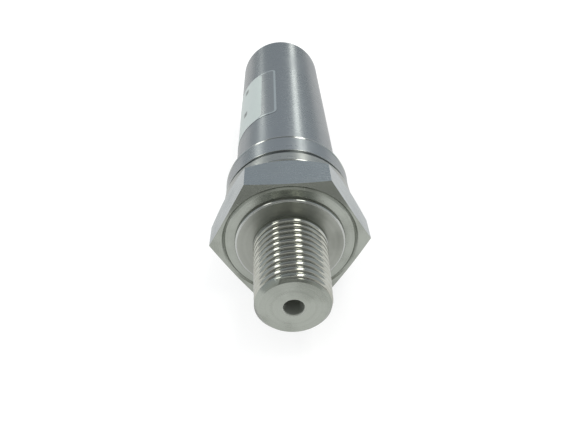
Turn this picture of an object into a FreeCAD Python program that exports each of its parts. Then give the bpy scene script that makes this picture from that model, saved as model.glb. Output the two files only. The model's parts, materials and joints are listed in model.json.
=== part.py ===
import FreeCAD, Part
import math
import os
from types import SimpleNamespace

import Sketcher
from FreeCAD import Placement, Rotation, Vector

# Pressure transmitter with a 1/4-18 NPT stud, a 27 mm hexagon and an M12 four-pin plug.
# The axis is Y: the stud points to -Y and the plug to +Y. The origin is on the axis, in the
# plane of the hexagon's front face, and two flats of the hexagon face +Z and -Z.
# Lengths are in millimetres, angles in degrees.
DIMENSIONS = {
    # tapered stud and port
    "stud_length": 16.0,
    "stud_end_radius": 6.63,
    "stud_taper": 0.03125,
    "stud_end_chamfer": 0.75,
    "neck_length": 1.0,
    "neck_radius": 7.15,
    "port_bore_radius": 1.8,
    "port_edge_break": 0.15,
    # boss, hexagon and collar
    "boss_radius": 10.6,
    "boss_height": 0.8,
    "hex_across_flats": 27.0,
    "hex_length": 8.9,
    "hex_front_inset": 0.45,
    "hex_front_angle": 10.0,
    "hex_back_inset": 0.7,
    "hex_back_angle": 45.0,
    "face_groove_width": 0.7,
    "face_groove_depth": 0.3,
    "collar_length": 3.0,
    "seam_width": 1.0,
    "seam_depth": 1.0,
    "spigot_length": 6.0,
    "spigot_wall": 2.15,
    "seat_station": 4.0,
    "port_chamber_depth": 0.8,
    # case
    "case_radius": 11.5,
    "case_wall": 1.2,
    "collar_inset": 0.2,
    "case_collar_length": 6.0,
    "case_edge_break": 0.3,
    "case_length": 71.1,
    "rim_chamfer": 0.45,
    "lip_thickness": 0.8,
    "lip_reach": 0.8,
    "slip_clearance": 0.05,
    # seals
    "case_seal_section": 1.35,
    "capsule_seal_section": 1.45,
    "cap_seal_section": 1.3,
    "plug_seal_section": 1.0,
    "seal_clearance": 0.01,
    "groove_side_play": 0.6,
    # sensor capsule
    "capsule_length": 7.0,
    "weld_ring_thickness": 0.8,
    "weld_ring_width": 1.8,
    "diaphragm_thickness": 0.15,
    "oil_gap": 0.25,
    "die_chamber_radius": 2.8,
    "header_wall": 1.8,
    "pin_circle_radius": 1.95,
    "header_pin_radius": 0.23,
    "header_pin_reach": 3.2,
    "header_pin_tip": 1.0,
    "glass_bead_radius": 0.7,
    "pedestal_radius": 1.1,
    "pedestal_height": 1.2,
    "die_side": 2.0,
    "die_thickness": 0.4,
    "fill_channel_radius": 0.35,
    "fill_ball_radius": 0.72,
    "fill_seat_depth": 1.5,
    "fill_circle_radius": 4.6,
    "fill_clearance": 0.03,
    "retainer_length": 3.0,
    "retainer_wall": 2.0,
    "retainer_slot_width": 1.6,
    "retainer_slot_depth": 1.2,
    "ceramic_offset": 1.2,
    "ceramic_thickness": 0.64,
    "ceramic_gap": 0.4,
    "trim_length": 1.6,
    "trim_width": 0.8,
    "trim_height": 0.45,
    "trim_pitch": 2.08,
    "trim_row_offset": 3.5,
    # circuit board and its holders
    "holder_length": 4.0,
    "holder_hole_radius": 6.5,
    "holder_slot_depth": 2.4,
    "board_thickness": 1.6,
    "board_edge_gap": 1.5,
    "slot_clearance": 0.05,
    "wire_space": 7.1,
    "chip_length": 6.5,
    "chip_width": 4.4,
    "chip_height": 1.0,
    "chip_lead_width": 0.3,
    "chip_lead_thickness": 0.15,
    "chip_lead_reach": 1.0,
    "transistor_length": 6.5,
    "transistor_width": 6.1,
    "transistor_height": 2.3,
    "transistor_tab": 1.0,
    "transistor_tab_width": 4.9,
    "transistor_tab_thickness": 0.5,
    "chip_column": 6.2,
    "capacitor_length": 2.0,
    "capacitor_width": 1.25,
    "capacitor_height": 1.2,
    "resistor_length": 1.6,
    "resistor_width": 0.8,
    "resistor_height": 0.5,
    "diode_length": 4.3,
    "diode_width": 2.6,
    "diode_height": 2.2,
    "choke_length": 5.0,
    "choke_width": 3.6,
    "choke_height": 2.8,
    "clip_length": 9.0,
    "clip_width": 3.0,
    "clip_thickness": 0.3,
    "clip_toe_rise": 1.0,
    "clip_clearance": 0.15,
    "sensor_wire_radius": 0.3,
    "plug_wire_radius": 0.4,
    "wire_lead": 1.2,
    "wire_entry": 0.9,
    "wire_landing": 3.0,
    "wire_lift": 0.02,
    # end cap
    "cap_length": 5.0,
    "cap_proud": 0.6,
    # M12 plug
    "plug_radius": 6.0,
    "plug_thread_length": 13.5,
    "plug_relief_radius": 5.3,
    "plug_relief_length": 1.2,
    "plug_end_chamfer": 0.5,
    "plug_flange_flats": 16.0,
    "plug_flange_length": 3.0,
    "plug_flange_inset": 0.4,
    "plug_shank_length": 3.0,
    "plug_hole_clearance": 0.1,
    "plug_nut_flats": 14.0,
    "plug_nut_length": 2.5,
    "nut_chamfer_angle": 30.0,
    "socket_radius": 4.4,
    "socket_depth": 9.0,
    "socket_step": 0.25,
    "carrier_length": 12.1,
    "key_width": 1.4,
    "key_height": 0.4,
    "key_wall_gap": 0.1,
    "key_length": 6.0,
    "contact_circle_radius": 3.535,
    "contact_radius": 0.5,
    "contact_reach": 7.3,
    "contact_tip": 0.4,
    "contact_tail_length": 1.5,
    # sticker on the case
    "label_thickness": 0.12,
    "label_length": 27.2,
    "label_start": 21.1,
    "label_angle": 166.0,
    "label_corner": 1.5,
}

ALONG_Y = Rotation(Vector(1, 0, 0), -90)
HEADER_PINS = 4
CONTACTS = 4
CHIP_LEADS_PER_SIDE = 8
# Where the middle of each part on the board lies, as a share of the board's length.
TRANSISTOR_SHARE = 0.22
CHIP_SHARE = 0.38
DIODE_SHARE = 0.78
CHOKE_SHARE = 0.8
CLIP_SHARE = 0.8
CAPACITOR_SHARES = (0.3, 0.45, 0.6)
RESISTOR_SHARES = (0.3, 0.42, 0.54, 0.66)
# The ground clip's two bends, as shares of its length.
CLIP_HEEL = 0.35
CLIP_BEND = 0.8
# How far apart wires lie on the board, as a share of their pins' distance.
SENSOR_WIRE_SPREAD = 1.6
PLUG_WIRE_SPREAD = 0.7
WIRE_BEND = 2.5
# A circle of this share of a hexagon's flats lies clear outside its corners.
CORNER_REACH = 0.6
# How far a cutting shape reaches past the surface that it cuts.
OVERCUT = 1.0
# Two edges or circles nearer than this are the same.
NEAR = 0.001

doc = FreeCAD.newDocument("PressureTransmitter")


class Size:
    """A length that keeps its number together with the sheet expression that drives it."""

    def __init__(self, number, text):
        self.number = float(number)
        self.text = text

    def __add__(self, other):
        other = as_size(other)
        return Size(self.number + other.number, f"({self.text} + {other.text})")

    def __sub__(self, other):
        other = as_size(other)
        return Size(self.number - other.number, f"({self.text} - {other.text})")

    def __mul__(self, other):
        other = as_size(other)
        return Size(self.number * other.number, f"{self.text} * {other.text}")

    def __truediv__(self, other):
        other = as_size(other)
        return Size(self.number / other.number, f"{self.text} / ({other.text})")

    def __neg__(self):
        return Size(-self.number, f"(-1 * {self.text})")


def as_size(value):
    """Turn a plain number into a Size; a Size stays as it is."""
    return value if isinstance(value, Size) else Size(value, f"({float(value)})")


def tangent(angle):
    """Tangent of an angle in degrees."""
    return Size(math.tan(math.radians(angle.number)), f"tan({angle.text} * 1deg)")


def make_sheet():
    """Write every driving dimension into the sheet and hand each back as a Size."""
    sheet = doc.addObject("Spreadsheet::Sheet", "Sizes")
    sizes = SimpleNamespace()
    for row, (alias, number) in enumerate(DIMENSIONS.items(), start=1):
        sheet.set(f"A{row}", alias)
        sheet.set(f"B{row}", str(number))
        sheet.setAlias(f"B{row}", alias)
        setattr(sizes, alias, Size(number, f"Sizes.{alias}"))
    doc.recompute()
    return sizes


S = make_sheet()
ZERO = as_size(0.0)

# Stations along the axis, from the stud's end to the plug's end.
BOSS_FRONT = -S.boss_height
STUD_END = BOSS_FRONT - S.stud_length
NECK_FRONT = BOSS_FRONT - S.neck_length
HEX_BACK = S.hex_length
COLLAR_BACK = HEX_BACK + S.collar_length
CASE_FRONT = COLLAR_BACK + S.seam_width
SPIGOT_END = CASE_FRONT + S.spigot_length
CASE_END = CASE_FRONT + S.case_length
LIP_SEAT = CASE_END - S.lip_thickness
CAP_FRONT = LIP_SEAT - S.cap_length
CAP_BACK = CASE_END + S.cap_proud
FLANGE_BACK = CAP_BACK + S.plug_flange_length
PLUG_END = FLANGE_BACK + S.plug_thread_length
SHANK_FRONT = CAP_FRONT - S.plug_shank_length
SOCKET_FLOOR = PLUG_END - S.socket_depth
CARRIER_FRONT = SOCKET_FLOOR - S.carrier_length
CONTACT_END = CARRIER_FRONT - S.contact_tail_length

# Radii that follow from what each piece fits into.
STUD_ROOT_RADIUS = S.stud_end_radius + S.stud_taper * (S.stud_length - S.neck_length)
HEX_FRONT_RADIUS = S.hex_across_flats / 2 - S.hex_front_inset
HEX_BACK_RADIUS = S.hex_across_flats / 2 - S.hex_back_inset
CASE_BORE = S.case_radius - S.case_wall
COLLAR_RADIUS = S.hex_across_flats / 2 - S.collar_inset
SPIGOT_RADIUS = CASE_BORE - S.slip_clearance
CAVITY_RADIUS = SPIGOT_RADIUS - S.spigot_wall
CAPSULE_RADIUS = CAVITY_RADIUS - S.slip_clearance
LIP_RADIUS = CASE_BORE - S.lip_reach

# Sensor capsule, from its seat towards the case.
DIAPHRAGM_FRONT = S.seat_station + S.weld_ring_thickness
BODY_FRONT = DIAPHRAGM_FRONT + S.diaphragm_thickness
CAPSULE_BACK = S.seat_station + S.capsule_length
CHAMBER_BACK = CAPSULE_BACK - S.header_wall
RETAINER_BACK = CAPSULE_BACK + S.retainer_length
CERAMIC_FRONT = CAPSULE_BACK + S.ceramic_offset
CERAMIC_BACK = CERAMIC_FRONT + S.ceramic_thickness
HEADER_PIN_END = CAPSULE_BACK + S.header_pin_reach
HEADER_PIN_TIP = CHAMBER_BACK - S.header_pin_tip
DIAPHRAGM_OPEN_RADIUS = CAPSULE_RADIUS - S.weld_ring_width
RETAINER_OPEN_RADIUS = CAPSULE_RADIUS - S.retainer_wall

# Circuit board between its two holders.
HOLDER_RADIUS = CASE_BORE - S.slip_clearance * 4
BOARD_FRONT = SPIGOT_END + S.holder_length - S.holder_slot_depth
REAR_HOLDER_BACK = CAP_FRONT - S.wire_space
REAR_HOLDER_FRONT = REAR_HOLDER_BACK - S.holder_length
BOARD_BACK = REAR_HOLDER_FRONT + S.holder_slot_depth
BOARD_LENGTH = BOARD_BACK - BOARD_FRONT
BOARD_WIDTH = (CASE_BORE - S.board_edge_gap) * 2
BOARD_TOP = S.board_thickness / 2

pieces = []


def register(obj, label):
    """Give a finished sub-part its label and keep it for the checks and the export."""
    obj.Label = label
    pieces.append(obj)
    return obj


def bind(obj, prop, size):
    """Drive one property of an object by a sheet expression."""
    obj.setExpression(prop, as_size(size).text)


def place(obj, x=ZERO, y=ZERO, z=ZERO, turn=Rotation()):
    """Turn an object and drive its position from the sheet."""
    obj.Placement = Placement(Vector(0, 0, 0), turn)
    for axis, size in (("x", x), ("y", y), ("z", z)):
        bind(obj, f"Placement.Base.{axis}", size)
    return obj


# ---------------------------------------------------------------- PartDesign helpers
def new_body(label):
    """Start a PartDesign body for one sub-part."""
    return register(doc.addObject("PartDesign::Body", label), label)


def start_sketch(body, role, station=ZERO):
    """Attach an empty sketch to a plane of its body, moved along the axis to a station."""
    sketch = body.newObject("Sketcher::SketchObject", "Outline")
    plane = next(item for item in body.Origin.OriginFeatures if item.Role == role)
    sketch.AttachmentSupport = [(plane, "")]
    sketch.MapMode = "FlatFace"
    if role == "XZ_Plane":
        bind(sketch, "AttachmentOffset.Base.z", -station)
    return sketch


def dimension(sketch, kind, *where, size):
    """Add a dimension to a sketch and drive it from the sheet."""
    index = sketch.addConstraint(Sketcher.Constraint(kind, *where, size.number))
    bind(sketch, f"Constraints[{index}]", size)


def add_outline(sketch, outline):
    """Draw a closed outline of straight lines, each corner dimensioned from the origin."""
    first = sketch.GeometryCount
    corners = [(as_size(a), as_size(b)) for a, b in outline]
    count = len(corners)
    vectors = [Vector(a.number, b.number, 0) for a, b in corners]
    lines = [Part.LineSegment(vectors[i], vectors[(i + 1) % count]) for i in range(count)]
    sketch.addGeometry(lines, False)
    for i, (across, along) in enumerate(corners):
        after = first + (i + 1) % count
        sketch.addConstraint(Sketcher.Constraint("Coincident", first + i, 2, after, 1))
        dimension(sketch, "DistanceX", -1, 1, first + i, 1, size=across)
        dimension(sketch, "DistanceY", -1, 1, first + i, 1, size=along)


def add_circle(sketch, radius, x, z):
    """Draw a circle with its centre and radius driven from the sheet."""
    circle = Part.Circle(Vector(x.number, z.number, 0), Vector(0, 0, 1), radius.number)
    index = sketch.addGeometry(circle, False)
    dimension(sketch, "DistanceX", -1, 1, index, 3, size=x)
    dimension(sketch, "DistanceY", -1, 1, index, 3, size=z)
    dimension(sketch, "Radius", index, size=radius)


def turned(body, kind, *outlines):
    """Revolve (radius, station) outlines about the axis, as added or cut material."""
    sketch = start_sketch(body, "XY_Plane")
    for outline in outlines:
        add_outline(sketch, outline)
    feature = body.newObject(f"PartDesign::{kind}", kind)
    feature.Profile = sketch
    feature.ReferenceAxis = (sketch, ["V_Axis"])
    feature.Angle = 360.0
    return feature


def ring(inner, outer, front, back):
    """Outline of a plain ring."""
    return [(inner, front), (outer, front), (outer, back), (inner, back)]


def extruded(body, kind, front, back, outline=None, circles=()):
    """Pad or pocket an outline and circles (radius, x, z) from one station to another."""
    sketch = start_sketch(body, "XZ_Plane", front)
    if outline:
        add_outline(sketch, outline)
    for radius, x, z in circles:
        add_circle(sketch, radius, x, z)
    feature = body.newObject(f"PartDesign::{kind}", kind)
    feature.Profile = sketch
    feature.Reversed = kind == "Pad"
    bind(feature, "Length", back - front)
    return feature


def hexagon(flats):
    """Outline of a hexagon with flats to +Z and -Z."""
    corner = flats / math.sqrt(3.0)
    turns = [math.radians(60 * step) for step in range(6)]
    return [(corner * math.cos(turn), corner * math.sin(turn)) for turn in turns]


def rectangle(width, height, z=ZERO):
    """Outline of a rectangle centred on (0, z)."""
    side = width / 2
    bottom = z - height / 2
    top = z + height / 2
    return [(-side, bottom), (side, bottom), (side, top), (-side, top)]


def chamfer_hexagon(body, flats, face_radius, angle, station, direction):
    """Cut a hexagon's corners back to a circle; direction points into the hexagon."""
    outside = flats * CORNER_REACH
    depth = (outside - face_radius) * tangent(angle) * direction
    outline = [(face_radius, station), (outside, station), (outside, station + depth)]
    turned(body, "Groove", outline)


# ---------------------------------------------------------------- Part helpers
def cylinder(radius, front, back, x=ZERO, z=ZERO, name="Round"):
    """Cylinder along the axis between two stations."""
    obj = doc.addObject("Part::Cylinder", name)
    bind(obj, "Radius", radius)
    bind(obj, "Height", back - front)
    return place(obj, x, front, z, ALONG_Y)


def box(width, length, height, x, y, z, name="Block"):
    """Box centred in X on x, from y towards the plug and from z upwards."""
    obj = doc.addObject("Part::Box", name)
    bind(obj, "Width", length)
    bind(obj, "Length", width)
    bind(obj, "Height", height)
    return place(obj, as_size(x) - as_size(width) / 2, as_size(y), as_size(z))


def fuse(items, name="Joined"):
    """Join primitives into one solid."""
    obj = doc.addObject("Part::MultiFuse", name)
    obj.Shapes = items
    return obj


def cut(base, tool, name="Trimmed"):
    """Cut one object with another."""
    obj = doc.addObject("Part::Cut", name)
    obj.Base = base
    obj.Tool = tool
    return obj


def group(items, label):
    """Keep like pieces together in one sub-part, each as its own solid."""
    obj = doc.addObject("Part::Compound", label)
    obj.Links = items
    return register(obj, label)


def seal_ring(label, groove_radius, section, middle):
    """Seal squeezed flat between the floor of its groove and the bore round it."""
    inner = groove_radius + S.seal_clearance
    outer = groove_radius + section - S.seal_clearance
    half = section / 2
    flat = half / 2
    body = new_body(label)
    turned(body, "Revolution", [
        (inner, middle - flat), (groove_radius + half, middle - half), (outer, middle - flat),
        (outer, middle + flat), (groove_radius + half, middle + half), (inner, middle + flat)])


def around(radius, count, first_angle=90.0):
    """Points (x, z) spread evenly on a circle about the axis."""
    turns = [math.radians(first_angle + 360.0 * step / count) for step in range(count)]
    return [(radius * math.cos(turn), radius * math.sin(turn)) for turn in turns]


# ---------------------------------------------------------------- process connection
def make_process_connection():
    """Stud, boss, hexagon, collar and spigot turned and milled from one bar."""
    body = new_body("process_connection")
    flats = S.hex_across_flats
    extruded(body, "Pad", ZERO, HEX_BACK, hexagon(flats))
    chamfer_hexagon(body, flats, HEX_FRONT_RADIUS, S.hex_front_angle, ZERO, 1)
    chamfer_hexagon(body, flats, HEX_BACK_RADIUS, S.hex_back_angle, HEX_BACK, -1)
    groove_inside = HEX_FRONT_RADIUS - S.face_groove_width
    groove_middle = HEX_FRONT_RADIUS - S.face_groove_width / 2
    turned(body, "Groove", [
        (groove_inside, ZERO), (HEX_FRONT_RADIUS, ZERO), (groove_middle, S.face_groove_depth)])

    chamfer_radius = S.stud_end_radius - S.stud_end_chamfer
    seam_floor = COLLAR_RADIUS - S.seam_depth
    turned(body, "Revolution", [
        (ZERO, STUD_END), (chamfer_radius, STUD_END),
        (S.stud_end_radius, STUD_END + S.stud_end_chamfer), (STUD_ROOT_RADIUS, NECK_FRONT),
        (S.neck_radius, NECK_FRONT), (S.neck_radius, BOSS_FRONT),
        (S.boss_radius, BOSS_FRONT), (S.boss_radius, HEX_BACK),
        (COLLAR_RADIUS, HEX_BACK), (COLLAR_RADIUS, COLLAR_BACK),
        (seam_floor, COLLAR_BACK), (seam_floor, CASE_FRONT),
        (SPIGOT_RADIUS, CASE_FRONT), (SPIGOT_RADIUS, SPIGOT_END), (ZERO, SPIGOT_END)])

    mouth_radius = S.port_bore_radius + S.port_edge_break
    chamber_front = S.seat_station - S.port_chamber_depth
    turned(body, "Groove", [
        (ZERO, STUD_END), (mouth_radius, STUD_END),
        (S.port_bore_radius, STUD_END + S.port_edge_break), (S.port_bore_radius, chamber_front),
        (DIAPHRAGM_OPEN_RADIUS, chamber_front), (DIAPHRAGM_OPEN_RADIUS, S.seat_station),
        (CAVITY_RADIUS, S.seat_station), (CAVITY_RADIUS, SPIGOT_END), (ZERO, SPIGOT_END)])
    cut_seal_groove(body, CASE_BORE, SPIGOT_RADIUS, S.case_seal_section,
                    (CASE_FRONT + SPIGOT_END) / 2, "case_o_ring")


def cut_seal_groove(body, bore, outside, section, middle, seal):
    """Turn a groove for a seal that closes against the bore round it, and add the seal."""
    half_width = (section + S.groove_side_play) / 2
    floor = bore - section
    turned(body, "Groove",
           ring(floor, outside + OVERCUT, middle - half_width, middle + half_width))
    seal_ring(seal, floor, section, middle)


# ---------------------------------------------------------------- sensor capsule
def make_capsule():
    """Oil-filled capsule that stands on the seat in the process connection."""
    weld_ring = new_body("diaphragm_ring")
    turned(weld_ring, "Revolution",
           ring(DIAPHRAGM_OPEN_RADIUS, CAPSULE_RADIUS, S.seat_station, DIAPHRAGM_FRONT))
    register(cylinder(CAPSULE_RADIUS, DIAPHRAGM_FRONT, BODY_FRONT), "diaphragm")

    body = new_body("sensor_body")
    oil_back = BODY_FRONT + S.oil_gap
    turned(body, "Revolution", [
        (S.die_chamber_radius, oil_back), (DIAPHRAGM_OPEN_RADIUS, oil_back),
        (DIAPHRAGM_OPEN_RADIUS, BODY_FRONT), (CAPSULE_RADIUS, BODY_FRONT),
        (CAPSULE_RADIUS, CAPSULE_BACK), (ZERO, CAPSULE_BACK),
        (ZERO, CHAMBER_BACK), (S.die_chamber_radius, CHAMBER_BACK)])
    pin_holes = [(S.glass_bead_radius, x, z) for x, z in PIN_PLACES]
    extruded(body, "Pocket", CHAMBER_BACK, CAPSULE_BACK, circles=pin_holes)
    fill_seat = CAPSULE_BACK - S.fill_seat_depth
    ball_hole_radius = S.fill_ball_radius + S.fill_clearance
    extruded(body, "Pocket", oil_back, CAPSULE_BACK,
             circles=[(S.fill_channel_radius, S.fill_circle_radius, ZERO)])
    extruded(body, "Pocket", fill_seat, CAPSULE_BACK,
             circles=[(ball_hole_radius, S.fill_circle_radius, ZERO)])
    cut_seal_groove(body, CAVITY_RADIUS, CAPSULE_RADIUS, S.capsule_seal_section,
                    (BODY_FRONT + CHAMBER_BACK) / 2, "sensor_o_ring")

    ball = doc.addObject("Part::Sphere", "fill_ball")
    bind(ball, "Radius", S.fill_ball_radius)
    place(ball, S.fill_circle_radius, fill_seat + S.fill_ball_radius)
    register(ball, "fill_ball")


def make_header():
    """Die on its pedestal, and pins sealed through the capsule's back by glass beads."""
    pins = []
    beads = []
    for x, z in PIN_PLACES:
        pins.append(cylinder(S.header_pin_radius, HEADER_PIN_TIP, HEADER_PIN_END, x, z, "Pin"))
        bead = cylinder(S.glass_bead_radius, CHAMBER_BACK, CAPSULE_BACK, x, z, "Bead")
        hole = cylinder(S.header_pin_radius, CHAMBER_BACK, CAPSULE_BACK, x, z, "BeadHole")
        beads.append(cut(bead, hole))
    group(pins, "header_pins")
    group(beads, "glass_seals")

    pedestal_front = CHAMBER_BACK - S.pedestal_height
    register(cylinder(S.pedestal_radius, pedestal_front, CHAMBER_BACK), "glass_pedestal")
    die = box(S.die_side, S.die_thickness, S.die_side, ZERO,
              pedestal_front - S.die_thickness, -S.die_side / 2)
    register(die, "sensor_die")


def make_retainer():
    """Ring screwed in behind the capsule, with two slots for its key."""
    body = new_body("retaining_ring")
    turned(body, "Revolution",
           ring(RETAINER_OPEN_RADIUS, CAPSULE_RADIUS, CAPSULE_BACK, RETAINER_BACK))
    extruded(body, "Pocket", RETAINER_BACK - S.retainer_slot_depth, RETAINER_BACK,
             rectangle(CAPSULE_RADIUS * 2 + OVERCUT, S.retainer_slot_width))


def make_ceramic():
    """Compensation board on the header pins, with its trimmed resistors."""
    radius = RETAINER_OPEN_RADIUS - S.ceramic_gap
    plate = new_body("compensation_board")
    holes = [(S.header_pin_radius + S.slip_clearance, x, z) for x, z in PIN_PLACES]
    extruded(plate, "Pad", CERAMIC_FRONT, CERAMIC_BACK, circles=[(radius, ZERO, ZERO)])
    extruded(plate, "Pocket", CERAMIC_FRONT, CERAMIC_BACK, circles=holes)

    chips = []
    for side in (1, -1):
        for shift in (-1, 0, 1):
            x = S.trim_pitch * shift
            z = S.trim_row_offset * side - S.trim_width / 2
            chips.append(box(S.trim_length, S.trim_height, S.trim_width, x, CERAMIC_BACK, z))
    group(chips, "trim_resistors")


# ---------------------------------------------------------------- case and its end cap
def make_case():
    """Sleeve with a wide collar at the front and a lip rolled over the end cap."""
    body = new_body("case")
    edge = S.case_edge_break
    collar_end = CASE_FRONT + S.case_collar_length
    sleeve = turned(body, "Revolution", [
        (CASE_BORE, CASE_FRONT), (COLLAR_RADIUS - edge, CASE_FRONT),
        (COLLAR_RADIUS, CASE_FRONT + edge), (COLLAR_RADIUS, collar_end - edge),
        (COLLAR_RADIUS - edge, collar_end), (S.case_radius, collar_end),
        (S.case_radius, CASE_END), (LIP_RADIUS, CASE_END),
        (LIP_RADIUS, LIP_SEAT), (CASE_BORE, LIP_SEAT)])
    doc.recompute()
    rim = body.newObject("PartDesign::Chamfer", "RolledRim")
    rim.Base = (sleeve, [edge_name(sleeve, S.case_radius, CASE_END)])
    bind(rim, "Size", S.rim_chamfer)


def edge_name(feature, radius, station):
    """Name of the circular edge of a turned feature at a radius and a station."""
    for index, edge in enumerate(feature.Shape.Edges, start=1):
        curve = edge.Curve
        if isinstance(curve, Part.Circle) and abs(curve.Center.y - station.number) < NEAR:
            if abs(curve.Radius - radius.number) < NEAR:
                return f"Edge{index}"
    raise RuntimeError("no circular edge at this place")


def make_end_cap():
    """Steel disc held by the case's lip, sealed against the bore, with the plug's hole."""
    hole = S.plug_radius + S.plug_hole_clearance
    cap_radius = CASE_BORE - S.slip_clearance
    neck_radius = LIP_RADIUS - S.slip_clearance
    body = new_body("end_cap")
    turned(body, "Revolution", [
        (hole, CAP_FRONT), (cap_radius, CAP_FRONT), (cap_radius, LIP_SEAT),
        (neck_radius, LIP_SEAT), (neck_radius, CAP_BACK), (hole, CAP_BACK)])
    cut_seal_groove(body, CASE_BORE, cap_radius, S.cap_seal_section,
                    (CAP_FRONT + LIP_SEAT) / 2, "end_cap_o_ring")


# ---------------------------------------------------------------- plug
def make_plug_shell():
    """M12 shell with a hexagon flange outside the cap and a threaded shank inside it."""
    body = new_body("plug_shell")
    extruded(body, "Pad", CAP_BACK, FLANGE_BACK, hexagon(S.plug_flange_flats))
    face_radius = S.plug_flange_flats / 2 - S.plug_flange_inset
    chamfer_hexagon(body, S.plug_flange_flats, face_radius, S.nut_chamfer_angle, FLANGE_BACK, -1)

    relief_end = FLANGE_BACK + S.plug_relief_length
    turned(body, "Revolution", [
        (ZERO, SHANK_FRONT), (S.plug_radius, SHANK_FRONT), (S.plug_radius, FLANGE_BACK),
        (S.plug_relief_radius, FLANGE_BACK), (S.plug_relief_radius, relief_end),
        (S.plug_radius, relief_end), (S.plug_radius, PLUG_END - S.plug_end_chamfer),
        (S.plug_radius - S.plug_end_chamfer, PLUG_END), (ZERO, PLUG_END)])
    step_radius = S.socket_radius - S.socket_step
    turned(body, "Groove", [
        (ZERO, SHANK_FRONT), (step_radius, SHANK_FRONT), (step_radius, CARRIER_FRONT),
        (S.socket_radius, CARRIER_FRONT), (S.socket_radius, PLUG_END), (ZERO, PLUG_END)])

    floor = S.plug_radius + S.groove_side_play / 2
    groove_back = CAP_BACK + S.plug_seal_section
    turned(body, "Groove", ring(floor, floor + S.plug_seal_section, CAP_BACK, groove_back))
    seal_ring("plug_o_ring", floor, S.plug_seal_section, CAP_BACK + S.plug_seal_section / 2)

    nut = new_body("plug_nut")
    nut_front = CAP_FRONT - S.plug_nut_length
    extruded(nut, "Pad", nut_front, CAP_FRONT, hexagon(S.plug_nut_flats),
             [(S.plug_radius + S.slip_clearance, ZERO, ZERO)])
    nut_face = S.plug_nut_flats / 2 - S.plug_flange_inset
    chamfer_hexagon(nut, S.plug_nut_flats, nut_face, S.nut_chamfer_angle, nut_front, 1)


def make_contacts():
    """Moulded carrier with its key rib, and the four contacts that stand in it."""
    body = new_body("contact_carrier")
    carrier_radius = S.socket_radius - S.slip_clearance
    pin_holes = [(S.contact_radius + S.seal_clearance, x, z) for x, z in CONTACT_PLACES]
    extruded(body, "Pad", CARRIER_FRONT, SOCKET_FLOOR, circles=[(carrier_radius, ZERO, ZERO)])
    key_end = SOCKET_FLOOR + S.key_length
    add_key(body, carrier_radius, key_end)
    extruded(body, "Pocket", CARRIER_FRONT, SOCKET_FLOOR, circles=pin_holes)

    contacts = []
    shoulder = SOCKET_FLOOR + S.contact_reach - S.contact_tip
    for x, z in CONTACT_PLACES:
        shaft = cylinder(S.contact_radius, CONTACT_END, shoulder, x, z, "Shaft")
        point = doc.addObject("Part::Cone", "Tip")
        bind(point, "Radius1", S.contact_radius)
        bind(point, "Radius2", S.contact_radius / 2)
        bind(point, "Height", S.contact_tip)
        place(point, x, shoulder, z, ALONG_Y)
        contacts.append(fuse([shaft, point], "Contact"))
    group(contacts, "contact_pins")


def add_key(body, outside, end):
    """Key rib along the socket's wall, midway between two contacts."""
    lean = math.sqrt(0.5)
    half = S.key_width / 2
    inner = outside - S.key_height
    reach = outside - S.key_wall_gap
    outline = []
    for along, across in ((inner, -half), (reach, -half), (reach, half), (inner, half)):
        outline.append(((along - across) * lean, (along + across) * lean))
    extruded(body, "Pad", SOCKET_FLOOR, end, outline)


# ---------------------------------------------------------------- circuit board
def make_board():
    """Bare board between the two holders that centre it in the case."""
    board = box(BOARD_WIDTH, BOARD_LENGTH, S.board_thickness, ZERO, BOARD_FRONT, -BOARD_TOP)
    register(board, "main_board")
    slot_width = BOARD_WIDTH + S.slot_clearance * 2
    slot_height = S.board_thickness + S.slot_clearance * 2
    holders = (
        ("front_holder", SPIGOT_END, SPIGOT_END + S.holder_length, BOARD_FRONT, None),
        ("rear_holder", REAR_HOLDER_FRONT, REAR_HOLDER_BACK, None, BOARD_BACK))
    for label, front, back, slot_front, slot_back in holders:
        body = new_body(label)
        turned(body, "Revolution", ring(S.holder_hole_radius, HOLDER_RADIUS, front, back))
        extruded(body, "Pocket", slot_front or front, slot_back or back,
                 rectangle(slot_width, slot_height))


def on_board(width, length, height, x, share, top=True):
    """Box soldered to a face of the board, at a share of the board's length."""
    y = BOARD_FRONT + BOARD_LENGTH * share - length / 2
    z = BOARD_TOP if top else -BOARD_TOP - height
    return box(width, length, height, x, y, z, "Chip")


def make_board_parts():
    """Parts soldered to both faces of the board."""
    choke = on_board(S.choke_width, S.choke_length, S.choke_height, ZERO, CHOKE_SHARE)
    register(choke, "filter_choke")
    rows = (
        ("chip_capacitors", (S.capacitor_width, S.capacitor_length, S.capacitor_height),
         CAPACITOR_SHARES, True),
        ("chip_resistors", (S.resistor_width, S.resistor_length, S.resistor_height),
         RESISTOR_SHARES, False),
        ("protection_diodes", (S.diode_width, S.diode_length, S.diode_height),
         (DIODE_SHARE,), True))
    for label, size, shares, top in rows:
        columns = (S.chip_column, -S.chip_column)
        group([on_board(*size, x, share, top) for x in columns for share in shares], label)
    make_signal_chip()
    make_transistor()


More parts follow.
